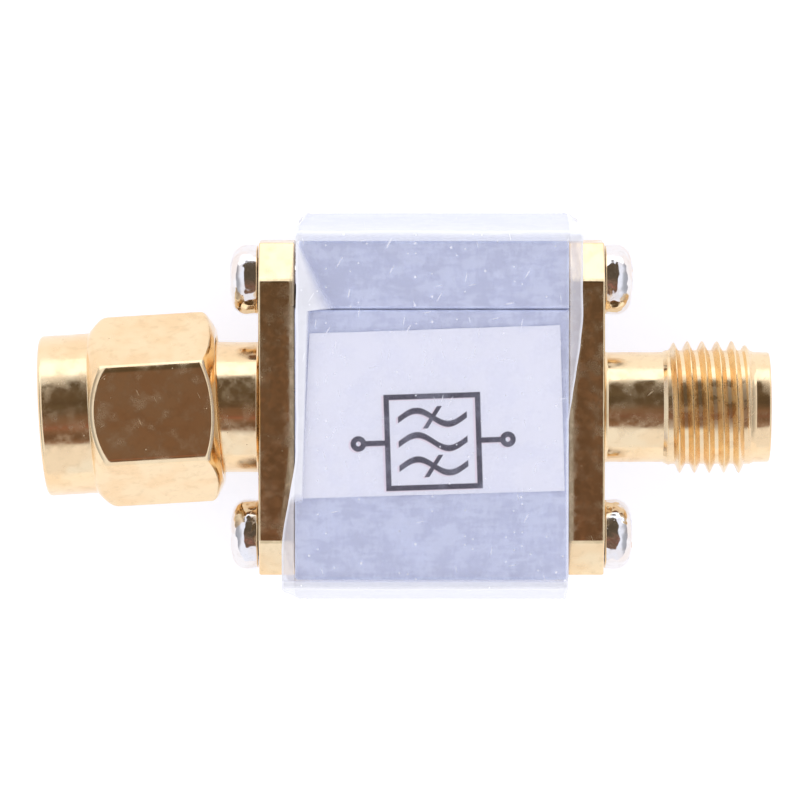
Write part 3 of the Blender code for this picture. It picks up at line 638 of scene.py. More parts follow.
def rounded(corners, steps=5, closed=False):
    """Points of a polyline given as (a, b, radius) corners, with each corner rounded by an arc."""
    points = []
    count = len(corners)
    for at, (a, b, radius) in enumerate(corners):
        here = Vector((a, b))
        if radius == 0 or (not closed and at in (0, count - 1)):
            points.append(here)
            continue
        to_last = (Vector(corners[at - 1][:2]) - here).normalized()
        to_next = (Vector(corners[(at + 1) % count][:2]) - here).normalized()
        half = to_last.angle(to_next) / 2
        centre = here + (to_last + to_next).normalized() * radius / math.sin(half)
        reach = radius / math.tan(half)
        first = here + to_last * reach - centre
        last = here + to_next * reach - centre
        sweep = math.pi - 2 * half
        for step in range(steps + 1):
            share = step / steps
            arm = first * math.sin((1 - share) * sweep) + last * math.sin(share * sweep)
            points.append(centre + arm / math.sin(sweep))
    return points


def ring(bm, x, radius, sides=SIDES, shape=None):
    """Circle of vertices round the X axis; a shape turns the radius and angle into a new radius."""
    made = []
    for side in range(sides):
        angle = TAU * side / sides
        reach = shape(radius, angle) if shape else radius
        made.append(bm.verts.new((x, reach * math.cos(angle), reach * math.sin(angle))))
    return made


def bridge(bm, first, second):
    """Quads between two closed loops of equally many vertices."""
    for at in range(len(first)):
        after = (at + 1) % len(first)
        face = bm.faces.new((first[at], first[after], second[after], second[at]))
        face.smooth = True


def tube(bm, profile, sides=SIDES, shape=None):
    """Rings through the (x, r) points of a profile; the first and the last one come back."""
    rings = [ring(bm, x, r, sides, shape) for x, r in profile]
    for first, second in zip(rings, rings[1:]):
        bridge(bm, first, second)
    return rings[0], rings[-1]


def fill(bm, *loops):
    """Flat face between closed loops that lie in one plane."""
    edges = []
    for loop in loops:
        for here, there in zip(loop, loop[1:] + loop[:1]):
            edges.append(bm.edges.get((here, there)) or bm.edges.new((here, there)))
    bmesh.ops.triangle_fill(bm, use_beauty=True, edges=edges)


def washer(profile):
    """Closed ring turned from a closed profile of (x, r) points."""
    bm = bmesh.new()
    first, last = tube(bm, profile)
    bridge(bm, last, first)
    return bm


def rod(profile, sides=SMALL_SIDES):
    """Closed rod turned from an open profile of (x, r) points, with a flat face at each end."""
    bm = bmesh.new()
    for end in tube(bm, profile, sides):
        fill(bm, end)
    return bm


def in_place(bm, seat, facing):
    """Put a shape made along +X from a flange's seat where its connector is."""
    turn = Matrix.Rotation(0 if facing > 0 else math.pi, 4, "Z")
    bm.transform(Matrix.Translation((seat, 0, AXIS_Z)) @ turn)
    return bm


def carved(bm, cutters):
    """Take each cutter out of a closed shape."""
    things = []
    for part in [bm, *cutters]:
        bmesh.ops.recalc_face_normals(part, faces=part.faces)
        things.append(as_object("carving", part))
    for cutter in things[1:]:
        step = things[0].modifiers.new("cut", "BOOLEAN")
        step.operation = "DIFFERENCE"
        step.solver = "EXACT"
        step.object = cutter
    made = finished(things[0])
    for thing in things:
        bpy.data.objects.remove(thing)
    return made


def new_tree(name, **inputs):
    """Geometry node tree with inputs named by kind: its maker and its inputs by name."""
    tree = bpy.data.node_groups.new(name, "GeometryNodeTree")
    for kind, labels in inputs.items():
        for label in labels:
            tree.interface.new_socket(label, in_out="INPUT", socket_type="NodeSocket" + kind)
    tree.interface.new_socket("Geometry", in_out="OUTPUT", socket_type="NodeSocketGeometry")
    maker = Maker(tree)
    return maker, maker.node("NodeGroupInput")


def end_tree(maker, geometry, finish):
    """Every tree ends in real geometry with its material set."""
    real = maker.node("GeometryNodeRealizeInstances", {}, {"Geometry": geometry})[0]
    dressed = maker.node("GeometryNodeSetMaterial", {}, {"Geometry": real, "Material": finish})[0]
    maker.node("NodeGroupOutput", {}, {"Geometry": dressed})
    return maker.tree


def grown(tree, values):
    """Run a geometry tree once with its inputs set, and keep the result as a plain bmesh."""
    holder = as_object(tree.name, bmesh.new())
    step = holder.modifiers.new(tree.name, "NODES")
    step.node_group = tree
    for item in tree.interface.items_tree:
        if item.in_out == "INPUT" and item.name in values:
            step[item.identifier] = values[item.name]
    made = finished(holder)
    bpy.data.objects.remove(holder)
    return made


def thread_tree():
    """Tree for the surface of a right-hand thread about X, whose edges follow the helix.

    One turn is a root flat, a rising flank, a crest and a falling flank, a quarter of the steps
    each. The thread fades in and out over half a turn and ends on plain circles.
    """
    maker, given = new_tree(
        "helical_thread", Int=("Rows", "Columns"), Material=("Material",),
        Float=("Start", "Pitch", "Turns", "Root Radius", "Crest Radius", "Crest Roundness"))
    root_end, flank_end, crest_end = 0.25, 0.594, 0.656
    grid = maker.node("GeometryNodeMeshGrid", {}, {
        "Size X": 1.0, "Size Y": 1.0, "Vertices X": given["Rows"], "Vertices Y": given["Columns"]})[0]
    along, across, flat = maker.split(maker.node("GeometryNodeInputPosition")[0])
    start, pitch, turns = given["Start"], given["Pitch"], given["Turns"]
    laps = maker.math("CEIL", turns) + 2
    lap = (along + 0.5) * laps
    quarter = lap.fraction() * 4
    share = (quarter.unit() * root_end + (quarter - 1).unit() * (flank_end - root_end)
             + (quarter - 2).unit() * (crest_end - flank_end) + (quarter - 3).unit() * (1 - crest_end))
    height = (quarter - 1).unit() - (quarter - 3).unit()
    eased = height * height * (3 - 2 * height)
    height = height + given["Crest Roundness"] * (eased - height)
    angle = across + 0.5
    end = start + turns * pitch
    x = (start + (lap.whole() - 1 + share + angle) * pitch).most(start).least(end)
    fade = pitch / 2
    height = height * ((x - start) / fade).least((end - x) / fade).unit()
    radius = given["Root Radius"] + height * (given["Crest Radius"] - given["Root Radius"])
    turn = angle * TAU
    place = maker.join(x, radius * turn.cosine(), radius * turn.sine())
    moved = maker.node("GeometryNodeSetPosition", {}, {"Geometry": grid, "Position": place})[0]
    smooth = maker.node("GeometryNodeSetShadeSmooth", {}, {"Geometry": moved})[0]
    welded = maker.node("GeometryNodeMergeByDistance", {}, {"Geometry": smooth, "Distance": 1e-7})[0]
    return end_tree(maker, welded, given["Material"])


def thread_surface(sizes, start, turns, root, crest, steps, finish):
    """Open threaded surface between two plain circles of SIDES vertices."""
    rows = (math.ceil(turns) + 2) * steps + 1
    tree = bpy.data.node_groups.get("helical_thread") or thread_tree()
    return grown(tree, {
        "Start": start, "Pitch": sizes.thread_pitch, "Turns": turns, "Root Radius": root,
        "Crest Radius": crest, "Rows": rows, "Columns": SIDES + 1, "Crest Roundness": 0.45,
        "Material": finish})


def add_mesh(bm, other, shift=0.0):
    """Add a bmesh to another and weld what meets."""
    other.transform(Matrix.Translation((shift, 0, 0)))
    mesh = bpy.data.meshes.new("welded")
    other.to_mesh(mesh)
    other.free()
    bm.from_mesh(mesh)
    bmesh.ops.remove_doubles(bm, verts=bm.verts, dist=2e-7)


def flange_outline(inset):
    """Outline of the flange in (y, z), moved in by a distance, with its corners slightly rounded."""
    tall, deep = FLANGE_TALL / 2 - inset, FLANGE_DEEP / 2 - inset
    cut_y, cut_z = FLANGE_CUT
    length = math.hypot(cut_y, cut_z)
    lean_y, lean_z = cut_z / length, cut_y / length
    reach = (FLANGE_TALL / 2 - cut_y) * lean_y + FLANGE_DEEP / 2 * lean_z - inset
    on_deep = (reach - deep * lean_z) / lean_y
    on_tall = (reach - tall * lean_y) / lean_z
    radius = FLANGE_CORNER - inset
    quarter = [(on_deep, deep, radius), (tall, on_tall, radius)]
    outline = quarter + [(y, -z, r) for y, z, r in reversed(quarter)]
    outline += [(-y, -z, r) for y, z, r in quarter] + [(-y, z, r) for y, z, r in reversed(quarter)]
    return rounded(outline, 4, closed=True)


def flange(bm, front_ring, back_ring):
    """Flange plate with its two screw holes, closed round the barrel's and the bore's rings."""
    stations = []
    for step in range(5):
        angle = step * math.pi / 8
        stations.append((FLANGE_EDGE * (1 - math.sin(angle)), FLANGE_EDGE * (1 - math.cos(angle))))
    stations = [(x, inset) for inset, x in stations]
    profile = stations + [(FLANGE_THICK - x, inset) for x, inset in reversed(stations)]
    loops = []
    for x, inset in profile:
        loops.append([bm.verts.new((x, y, z)) for y, z in flange_outline(inset)])
    for first, second in zip(loops, loops[1:]):
        bridge(bm, first, second)
    backs, fronts = [loops[0], back_ring], [loops[-1], front_ring]
    for sign in (1, -1):
        shift = Vector((0, sign * SCREW_SPACING / 2, 0))
        ends = tube(bm, [(0, FLANGE_HOLE_R), (FLANGE_THICK, FLANGE_HOLE_R)], SMALL_SIDES)
        for vert in ends[0] + ends[1]:
            vert.co += shift
        backs.append(ends[0])
        fronts.append(ends[1])
    fill(bm, *backs)
    fill(bm, *fronts)


def plug_connector():
    """Plug body: flange, neck with a turned relief, grooved spigot and thin outer conductor."""
    bm = bmesh.new()
    shoulder = FLANGE_THICK + NECK_LONG
    step = shoulder + SPIGOT_LONG
    face = step + TUBE_LONG
    ring_at = shoulder + NUT_END_PLAY + NUT_LIP_LONG + NUT_ROOM_LONG / 2
    half = GROOVE_WIDE / 2
    profile = rounded([
        (FLANGE_THICK, NECK_R + 0.1 * MM, 0),
        (FLANGE_THICK + 0.1 * MM, NECK_R, 0.05 * MM),
        (shoulder, NECK_R, 0.15 * MM),
        (shoulder, SPIGOT_R, 0.05 * MM),
        (ring_at - half, SPIGOT_R, 0.04 * MM),
        (ring_at - half, GROOVE_R, 0.04 * MM),
        (ring_at + half, GROOVE_R, 0.04 * MM),
        (ring_at + half, SPIGOT_R, 0.04 * MM),
        (step, SPIGOT_R, 0.05 * MM),
        (step, TUBE_R, 0.03 * MM),
        (face, TUBE_R, 0.08 * MM),
        (face, BORE_R, 0.03 * MM),
        (0, BORE_R, 0),
    ])
    front, back = tube(bm, profile)
    flange(bm, front, back)
    return in_place(bm, PLUG_SEAT, -1)


def jack_connector(sizes, finish):
    """Jack body: flange, filleted neck, true helical thread, plain end and counterbored mouth."""
    bm = bmesh.new()
    thread_at = FLANGE_THICK + JACK_NECK_LONG
    thread_end = thread_at + JACK_THREAD_TURNS * sizes.thread_pitch
    end = thread_end + JACK_END_LONG
    face = end - COUNTERBORE_DEEP
    neck = rounded([
        (FLANGE_THICK, JACK_R + JACK_FILLET, 0),
        (FLANGE_THICK, JACK_R, JACK_FILLET),
        (thread_at - THREAD_CONE, JACK_R, 0.05 * MM),
        (thread_at - 0.02 * MM, sizes.thread_root + 0.02 * MM, 0.03 * MM),
        (thread_at, sizes.thread_root, 0),
    ])
    mouth = rounded([
        (thread_end, sizes.thread_root, 0),
        (thread_end + THREAD_CONE, JACK_R, 0.06 * MM),
        (end, JACK_R, 0.1 * MM),
        (end, COUNTERBORE_R, 0.05 * MM),
        (face, COUNTERBORE_R, 0.05 * MM),
        (face, BORE_R, 0.03 * MM),
        (0, BORE_R, 0),
    ])
    front = tube(bm, neck[1:])[0]
    back = tube(bm, mouth)[1]
    flange(bm, front, back)
    thread = thread_surface(
        sizes, thread_at, JACK_THREAD_TURNS, sizes.thread_root, sizes.thread_crest, 24, finish)
    thread.transform(Matrix.Rotation(JACK_THREAD_TURN, 4, "X"))
    add_mesh(bm, thread)
    return in_place(bm, JACK_SEAT, 1)


def soft_least(first, second, width):
    """The lesser of two lengths, rounded where they are closer than a width."""
    overlap = max(width - abs(first - second), 0) / width
    return min(first, second) - overlap * overlap * width / 4


def hexagon(sizes):
    """Shape function that keeps a turned radius inside a soft-edged hexagonal bar."""
    flat = sizes.across_flats / 2
    width = sizes.corner_softness

    def reach(radius, angle):
        turn = (angle - NUT_TURN) % (TAU / 6) - TAU / 12
        side = flat / math.cos(turn)
        beside = flat / math.cos(TAU / 6 - abs(turn))
        return soft_least(soft_least(side, beside, width), radius, width * 0.6)

    return reach


def swelling(start_r, steps):
    """Turned end of the hexagon: from its start radius out past the corners, steeper at first."""
    for step in range(steps + 1):
        share = step / steps
        yield share, start_r + (HEX_TOP_R - start_r) * share * (1 + HEX_SWELL * (1 - share))


def coupling_nut(sizes, finish):
    """Coupling nut along its own axis: soft-edged hexagon, round collar, threaded bore."""
    bm = bmesh.new()
    hex_end = NUT_LONG - COLLAR_LONG
    outside = [(0.0, HEX_BACK_R - 0.12 * MM), (0.0, HEX_BACK_R - 0.06 * MM)]
    outside += [(HEX_BACK_CHAMFER * share, r) for share, r in swelling(HEX_BACK_R, 32)]
    front = [(hex_end - HEX_FRONT_CHAMFER * share, r) for share, r in swelling(HEX_FRONT_R, 40)]
    outside += reversed(front)
    back, edge = tube(bm, outside, HEX_SIDES, hexagon(sizes))
    collar = rounded([
        (hex_end, HEX_FRONT_R, 0),
        (hex_end + 0.03 * MM, COLLAR_R, 0.02 * MM),
        (NUT_LONG, COLLAR_R, COLLAR_EDGE),
        (NUT_LONG, COLLAR_R - 1.6 * COLLAR_EDGE, 0),
    ], 8)
    collar_rings = [edge] + [ring(bm, x, r, HEX_SIDES) for x, r in collar[1:]]
    for first, second in zip(collar_rings, collar_rings[1:]):
        bridge(bm, first, second)
    lip_end = NUT_NECK_ROOM + NUT_LIP_LONG
    room_end = lip_end + NUT_ROOM_LONG
    land_end = room_end + NUT_LAND_LONG
    thread_end = NUT_LONG - NUT_MOUTH
    thread_at = thread_end - NUT_THREAD_TURNS * sizes.thread_pitch
    inner = rounded([
        (0, NUT_NECK_ROOM_R + 0.06 * MM, 0),
        (0.06 * MM, NUT_NECK_ROOM_R, 0.03 * MM),
        (NUT_NECK_ROOM, NUT_NECK_ROOM_R, 0.05 * MM),
        (NUT_NECK_ROOM, NUT_LIP_R, 0.05 * MM),
        (lip_end, NUT_LIP_R, 0.05 * MM),
        (lip_end, NUT_ROOM_R, 0.05 * MM),
        (room_end, NUT_ROOM_R, 0.05 * MM),
        (room_end, NUT_LAND_R, 0.05 * MM),
        (land_end, NUT_LAND_R, 0.05 * MM),
        (land_end, NUT_THREAD_CREST_R, 0.05 * MM),
        (thread_at - 0.2 * MM, NUT_THREAD_CREST_R, 0.03 * MM),
        (thread_at, NUT_THREAD_ROOT_R, 0),
    ], 3)
    inner_back = tube(bm, inner)[0]
    inner_front = tube(bm, [
        (thread_end, NUT_THREAD_ROOT_R),
        (thread_end + 0.1 * MM, NUT_THREAD_CREST_R),
        (NUT_LONG, NUT_MOUTH_R),
    ])[1]
    fill(bm, back, inner_back)
    fill(bm, collar_rings[-1], inner_front)
    add_mesh(bm, thread_surface(
        sizes, thread_at, NUT_THREAD_TURNS, NUT_THREAD_ROOT_R, NUT_THREAD_CREST_R, 16, finish))
    bm.transform(Matrix.Translation((-NUT_NECK_ROOM - NUT_LIP_LONG / 2, 0, 0)))
    forward = Vector(NUT_JOINT["axis"]).normalized()
    side = Vector((0, 0, 1)).cross(forward).normalized()
    turn = Matrix((forward, side, forward.cross(side))).transposed().to_4x4()
    bm.transform(Matrix.Translation(PIVOT) @ turn)
    return bm


def cross_recess(top):
    """Cutter for the tapered cross pressed into a screw's head."""
    span, slot = RECESS_SPAN / 2, RECESS_SLOT / 2
    outline = []
    for quarter in range(4):
        turn = Matrix.Rotation(quarter * TAU / 4, 2)
        for corner in ((span, slot), (slot * 1.5, slot), (slot, slot * 1.5), (slot, span)):
            outline.append(turn @ Vector(corner))
    bm = bmesh.new()
    loops = []
    for x, scale in ((top - RECESS_DEEP, 0.35), (top - RECESS_DEEP * 0.8, 0.55), (top + RECESS_DEEP, 1.45)):
        loops.append([bm.verts.new((x, point.x * scale, point.y * scale)) for point in outline])
    for first, second in zip(loops, loops[1:]):
        bridge(bm, first, second)
    fill(bm, loops[0])
    fill(bm, loops[-1])
    return bm


def pan_head_screw():
    """One screw along +X from the flange's seat plane, with its head over the flange."""
    seat = FLANGE_THICK + SEAT_GAP
    top = seat + HEAD_TALL
    profile = rounded([
        (seat - SCREW_LONG, SCREW_R * 0.8, 0),
        (seat - SCREW_LONG + 0.2 * MM, SCREW_R, 0.05 * MM),
        (seat, SCREW_R, 0.03 * MM),
        (seat, HEAD_R * 0.96, 0.1 * MM),
        (top - 0.2 * MM, HEAD_R, HEAD_ROUND),
        (top, HEAD_R * 0.4, 0.4 * MM),
        (top, HEAD_R * 0.2, 0),
    ], 10)
    return carved(rod(profile, SCREW_SIDES), [cross_recess(top)])


def screw_tree():
    """Tree that sets one screw on every hole of the two flanges, each turned by chance."""
    maker, given = new_tree(
        "flange_screws", Object=("Screw",), Material=("Material",),
        Float=("Spacing", "Plug Seat", "Jack Seat", "Axis Height"))
    index = maker.node("GeometryNodeInputIndex")[0]
    on_plug = (index / 2).whole()
    lower = (index / 2).fraction() * 2
    x = given["Jack Seat"] + on_plug * (given["Plug Seat"] - given["Jack Seat"])
    y = given["Spacing"] * (0.5 - lower)
    points = maker.node("GeometryNodePoints", {}, {
        "Count": 4, "Position": maker.join(x, y, given["Axis Height"])})[0]
    chance = maker.node("FunctionNodeRandomValue", {"data_type": "FLOAT"}, {
        2: 0.0, 3: TAU / 4, "Seed": 11})[1]
    turn = maker.node("FunctionNodeEulerToRotation", {}, {
        0: maker.join(chance, 0.0, on_plug * math.pi)})[0]
    screw = maker.node("GeometryNodeObjectInfo", {}, {"Object": given["Screw"]})["Geometry"]
    placed = maker.node("GeometryNodeInstanceOnPoints", {}, {
        "Points": points, "Instance": screw, "Rotation": turn})[0]
    return end_tree(maker, placed, given["Material"])


def flange_screws(finish):
    """The four screws in their holes, as one bmesh."""
    bm = pan_head_screw()
    for face in bm.faces:
        face.smooth = True
    screw = as_object("pan_head_screw", bm)
    made = grown(screw_tree(), {
        "Screw": screw, "Spacing": SCREW_SPACING, "Plug Seat": PLUG_SEAT, "Jack Seat": JACK_SEAT,
        "Axis Height": AXIS_Z, "Material": finish})
    bpy.data.objects.remove(screw)
    return made


def blend(low, high, value):
    """Smooth step from 0 at low to 1 at high."""
    share = min(max((value - low) / (high - low), 0), 1)
    return share * share * (3 - 2 * share)


def film_section(offset):
    """Section of the film in (y, z), at an offset from the housing, with its two creases."""
    half = HALF_DEPTH + offset
    top = HOUSING_HIGH.y + offset
    low = HOUSING_LOW.y - offset
    high_fold = HOUSING_HIGH.y + CREASE_TOP - FILM_OUT + offset
    low_fold = HOUSING_LOW.y - CREASE_LOW + FILM_OUT - offset
    bend = 0.3 * MM
    corners = [(high_fold, 0, 0.12 * MM), (top, half, bend), (low, half, bend),
               (low_fold, 0, 0.12 * MM), (low, -half, bend), (top, -half, bend)]
    outline = rounded(corners, 8, closed=True)
    points = []
    for here, there in zip(outline, outline[1:] + outline[:1]):
        pieces = max(1, round((there - here).length / (0.3 * MM)))
        for step in range(pieces):
            points.append(here.lerp(there, step / pieces))
    return points


def film_ends(y, fold):
    """Where the two hand-cut ends of the film lie at a height Y and a share of the crease."""
    half = HOUSING_HIGH.x
    plug = half - 0.06 * MM + 0.68 * MM * blend(-1.17 * MM, -6.63 * MM, y)
    jack = half - 0.04 * MM + 0.68 * MM * blend(-1.23 * MM, 4.92 * MM, y)
    plug_slant, jack_slant = (0.35, 0.5) if y > 0 else (0.75, 0.0)
    return -(plug - plug_slant * MM * fold), jack - jack_slant * MM * fold


def film_folds():
    """Ridges in the film's front and back in millimetres, each as (start, end, height, width)."""
    return (
        ((-6.2, 8.0), (-5.0, 5.2), 0.09, 0.35),
        ((-6.3, -5.2), (-5.6, -7.7), 0.07, 0.3),
        ((5.2, 6.6), (6.1, 3.4), 0.05, 0.22),
        ((3.1, 5.6), (4.3, 4.1), 0.05, 0.16),
        ((-2.4, 7.9), (-2.7, 6.9), 0.05, 0.12),
        ((0.6, 7.9), (0.2, 7.2), 0.05, 0.12),
        ((-4.8, 5.9), (-3.7, 5.15), 0.05, 0.09),
        ((4.9, -6.6), (6.3, -7.6), 0.06, 0.3),
    )


def ridge(x, y, start, end, height, width):
    """Height of one pressed ridge at a place, in millimetres."""
    along = Vector(end) - Vector(start)
    here = Vector((x, y)) - Vector(start)
    share = min(max(here.dot(along) / along.length_squared, 0), 1)
    apart = (here - along * share).length
    return height * math.exp(-(apart / width) ** 2) * math.sin(math.pi * (0.1 + 0.8 * share))


def film_sleeve(sizes):
    """Shrink film: a closed thin shell, open at both ends, that waves a little over the housing."""
    across = 110
    wall = sizes.film_wall
    outer, inner = film_section(FILM_OUT), film_section(FILM_OUT - wall)
    bm = bmesh.new()
    cut_edge = bm.verts.layers.float.new("cut_edge")
    walls = []
    for section, skin in ((outer, 0.0), (inner, wall)):
        lines = []
        for at, (y, z) in enumerate(section):
            before, after = section[at - 1], section[(at + 1) % len(section)]
            out = Vector((0, (after - before).y, -(after - before).x)).normalized()
            if out.y * y + out.z * z < 0:
                out.negate()
            fold = 1 - blend(0, HALF_DEPTH * 0.8, abs(z))
            first, last = film_ends(y, fold)
            line = []
            for step in range(across + 1):
                share = step / across
                x = first + (last - first) * share
                wave = noise.noise(Vector((x, y, z)) / (2.6 * MM)) * sizes.film_wave * (1 - 0.8 * fold)
                lift = 0.0
                if abs(z) > HALF_DEPTH * 0.9:
                    side = 1 if z > 0 else -1
                    for start, end, height, width in film_folds():
                        lift += ridge(side * x / MM, y / MM, start, end, height, width) * MM
                hem = 1 - blend(0, 0.9 * MM, min(x - first, last - x))
                flutter = noise.noise(Vector((y, z, share)) / (1.5 * MM)) * 0.06 * MM * hem
                jag = noise.noise(Vector((y, z, 3.0)) / (0.8 * MM)) * 0.035 * MM * (2 * share - 1)
                push = min(wave + lift - sizes.film_wave * 0.7 + flutter, 0.05 * MM)
                place = Vector((x + jag, y, z)) + out * push
                place.z = min(max(place.z + AXIS_Z, SLEEVE_LOW.z + skin), SLEEVE_HIGH.z - skin + 0.05 * MM)
                vert = bm.verts.new(place)
                vert[cut_edge] = float(step in (0, across))
                line.append(vert)
            lines.append(line)
        walls.append(lines)
    outside, inside = walls
    for at in range(len(outside)):
        after = (at + 1) % len(outside)
        for lines in walls:
            for step in range(across):
                near, far = lines[at], lines[after]
                face = bm.faces.new((near[step], far[step], far[step + 1], near[step + 1]))
                face.smooth = True
        for end in (0, -1):
            bm.faces.new((inside[at][end], inside[after][end], outside[after][end], outside[at][end]))
    return bm


def label_slip(sizes):
    """Paper slip: a thin closed sheet cut by hand between its two long edges, a little wavy."""
    low_left, low_right = (Vector(corner) for corner in LABEL_LOWER_EDGE)
    high_left, high_right = (Vector(corner) for corner in LABEL_UPPER_EDGE)
    columns, rows = 90, 56
    bm = bmesh.new()
    layers = []
    for skin in (LABEL_THICK, 0.0):
        layer = []
        for row in range(rows + 1):
            v = row / rows
            left, right = low_left.lerp(high_left, v), low_right.lerp(high_right, v)
            line = []
            for column in range(columns + 1):
                spot = left.lerp(right, column / columns)
                wave = noise.noise(Vector((spot.x, spot.y, 0)) / (3.2 * MM)) * sizes.paper_wave
                cut = noise.noise(Vector((spot.x, spot.y, 7.0)) / (2.0 * MM)) * 0.02 * MM * (2 * v - 1)
                height = LABEL_LOW.z + 0.01 * MM + abs(wave) + skin
                line.append(bm.verts.new((spot.x, spot.y + cut, height)))
            layer.append(line)
        layers.append(layer)
    for layer in layers:
        for low, high in zip(layer, layer[1:]):
            for column in range(columns):
                face = bm.faces.new((low[column], low[column + 1], high[column + 1], high[column]))
                face.smooth = True
    rims = []
    for layer in layers:
        left = [line[0] for line in reversed(layer[1:-1])]
        right = [line[-1] for line in layer[1:-1]]
        rims.append(layer[0] + right + list(reversed(layer[-1])) + left)
    for at in range(len(rims[0])):
        after = (at + 1) % len(rims[0])
        bm.faces.new((rims[0][at], rims[0][after], rims[1][after], rims[1][at]))
    return bm


def dress(node, finish):
    """Give a solid node that stays a new material."""
    mesh = frame["nodes"][node].data
    mesh.materials.clear()
    mesh.materials.append(finish)


class FILTER_OT_housing(bpy.types.Operator):
    """Give the two milled housing parts their scuffed aluminium"""

    bl_idname = "filter_module.housing"
    bl_label = "Housing"

    def execute(self, context):
        finish = milled_aluminium(context.scene.filter_finishes)
        dress("housing_base", finish)
        dress("housing_cover", finish)
        return {"FINISHED"}


class FILTER_OT_connectors(bpy.types.Operator):
    """Make the plug's and the jack's gold-plated bodies"""

    bl_idname = "filter_module.connectors"
    bl_label = "Connector Bodies"

    def execute(self, context):
        looks, sizes = context.scene.filter_finishes, context.scene.filter_sizes
        thread = (JACK_SEAT + FLANGE_THICK + JACK_NECK_LONG) / MM
        thread = (thread, thread + JACK_THREAD_TURNS * sizes.thread_pitch / MM)
        gold = polished_metal("gold_plate", looks.gold, looks.gold_roughness, satin=thread)
        add_piece("plug_connector", plug_connector(), gold, "module", ["plug_body"])
        jack = jack_connector(sizes, gold)
        add_piece("jack_connector", jack, gold, "module", ["jack_body"])
        return {"FINISHED"}


class FILTER_OT_nut(bpy.types.Operator):
    """Make the loose coupling nut on its drooping axis"""

    bl_idname = "filter_module.nut"
    bl_label = "Coupling Nut"

    def execute(self, context):
        looks = context.scene.filter_finishes
        gold = polished_metal("nut_gold_plate", looks.gold, looks.gold_roughness, True)
        nut = coupling_nut(context.scene.filter_sizes, gold)
        add_piece("loose_nut", nut, gold, "nut", ["coupling_nut"])
        return {"FINISHED"}


class FILTER_OT_contacts(bpy.types.Operator):
    """Make the centre contacts, their white beads, the gasket and the snap ring's finish"""

    bl_idname = "filter_module.contacts"
    bl_label = "Contacts and Beads"

    def execute(self, context):
        looks = context.scene.filter_finishes
        sizes = context.scene.filter_sizes
        gold = polished_metal("contact_gold_plate", looks.gold, looks.gold_roughness)
        bead = plain_finish("white_bead", (0.9, 0.9, 0.88), 0.42, microns=1.0, spread=0.03)
        silicone = plain_finish("red_silicone", (0.55, 0.09, 0.06), 0.5)
        shoulder = FLANGE_THICK + NECK_LONG + SPIGOT_LONG
        plug_face = shoulder + TUBE_LONG
        jack_face = (FLANGE_THICK + JACK_NECK_LONG + JACK_THREAD_TURNS * sizes.thread_pitch
                     + JACK_END_LONG - COUNTERBORE_DEEP)
        reach = plug_face + PIN_REACH
        pin = rod(rounded([
            (-TAIL_LONG, CONTACT_R, 0),
            (plug_face, CONTACT_R, 0.05 * MM),
            (plug_face, PIN_R, 0.05 * MM),
            (reach - 0.45 * MM, PIN_R, 0.2 * MM),
            (reach, PIN_R / 3, 0),
        ]))
        pin = in_place(pin, PLUG_SEAT, -1)
        add_piece("plug_centre_pin", pin, gold, "module", ["plug_pin"])
        contact = rod([(-TAIL_LONG, CONTACT_R), (jack_face - 0.04 * MM, CONTACT_R),
                       (jack_face, CONTACT_R - 0.04 * MM)])
        past = jack_face + SOCKET_DEEP
        cutters = [rod([(jack_face - SOCKET_DEEP, SOCKET_R), (past, SOCKET_R)])]
        for turn in (0, TAU / 4):
            slot = bmesh.new()
            bmesh.ops.create_cube(slot, size=1.0)
            long = SLOT_LONG + SOCKET_DEEP
            slot.transform(Matrix.Translation((past - long / 2, 0, 0)) @ Matrix.Rotation(turn, 4, "X")
                           @ Matrix.Diagonal((long, 4 * CONTACT_R, SLOT_WIDE, 1)))
            cutters.append(slot)
        contact = in_place(carved(contact, cutters), JACK_SEAT, 1)
        add_piece("jack_centre_contact", contact, gold, "module", ["jack_contact"])
        for name, node, seat, facing, face in (
                ("plug_bead", "plug_dielectric", PLUG_SEAT, -1, plug_face - SEAT_GAP),
                ("jack_bead", "jack_dielectric", JACK_SEAT, 1, jack_face)):
            edge = 0.05 * MM
            shape = washer(rounded([(0, BEAD_R, 0), (face, BEAD_R, edge), (face, BEAD_HOLE_R, edge),
                                    (0, BEAD_HOLE_R, 0)]))
            add_piece(name, in_place(shape, seat, facing), bead, "module", [node])
        inner = TUBE_R + SEAT_GAP
        start = shoulder + SEAT_GAP
        end = start + GASKET_THICK
        edge = 0.08 * MM
        gasket = washer(rounded([(start, inner, edge), (start, inner + GASKET_TALL, edge),
                                 (end, inner + GASKET_TALL, edge), (end, inner, edge)], closed=True))
        add_piece("sealing_gasket", in_place(gasket, PLUG_SEAT, -1), silicone, "module",
                  ["nut_gasket"])
        dress("nut_snap_ring", plain_finish("spring_bronze", (0.62, 0.42, 0.2), 0.3, 1.0))
        return {"FINISHED"}


class FILTER_OT_screws(bpy.types.Operator):
    """Set the four nickel-plated pan-head screws on the flanges"""

    bl_idname = "filter_module.screws"
    bl_label = "Flange Screws"

    def execute(self, context):
        nickel = context.scene.filter_finishes.nickel
        nickel = polished_metal("nickel_plate", nickel, 0.08, ripple=170.0, waves=0.9)
        nodes = [f"{end}_screw_{side}" for end in ("plug", "jack") for side in ("upper", "lower")]
        add_piece("flange_screws", flange_screws(nickel), nickel, "module", nodes, 40)
        return {"FINISHED"}


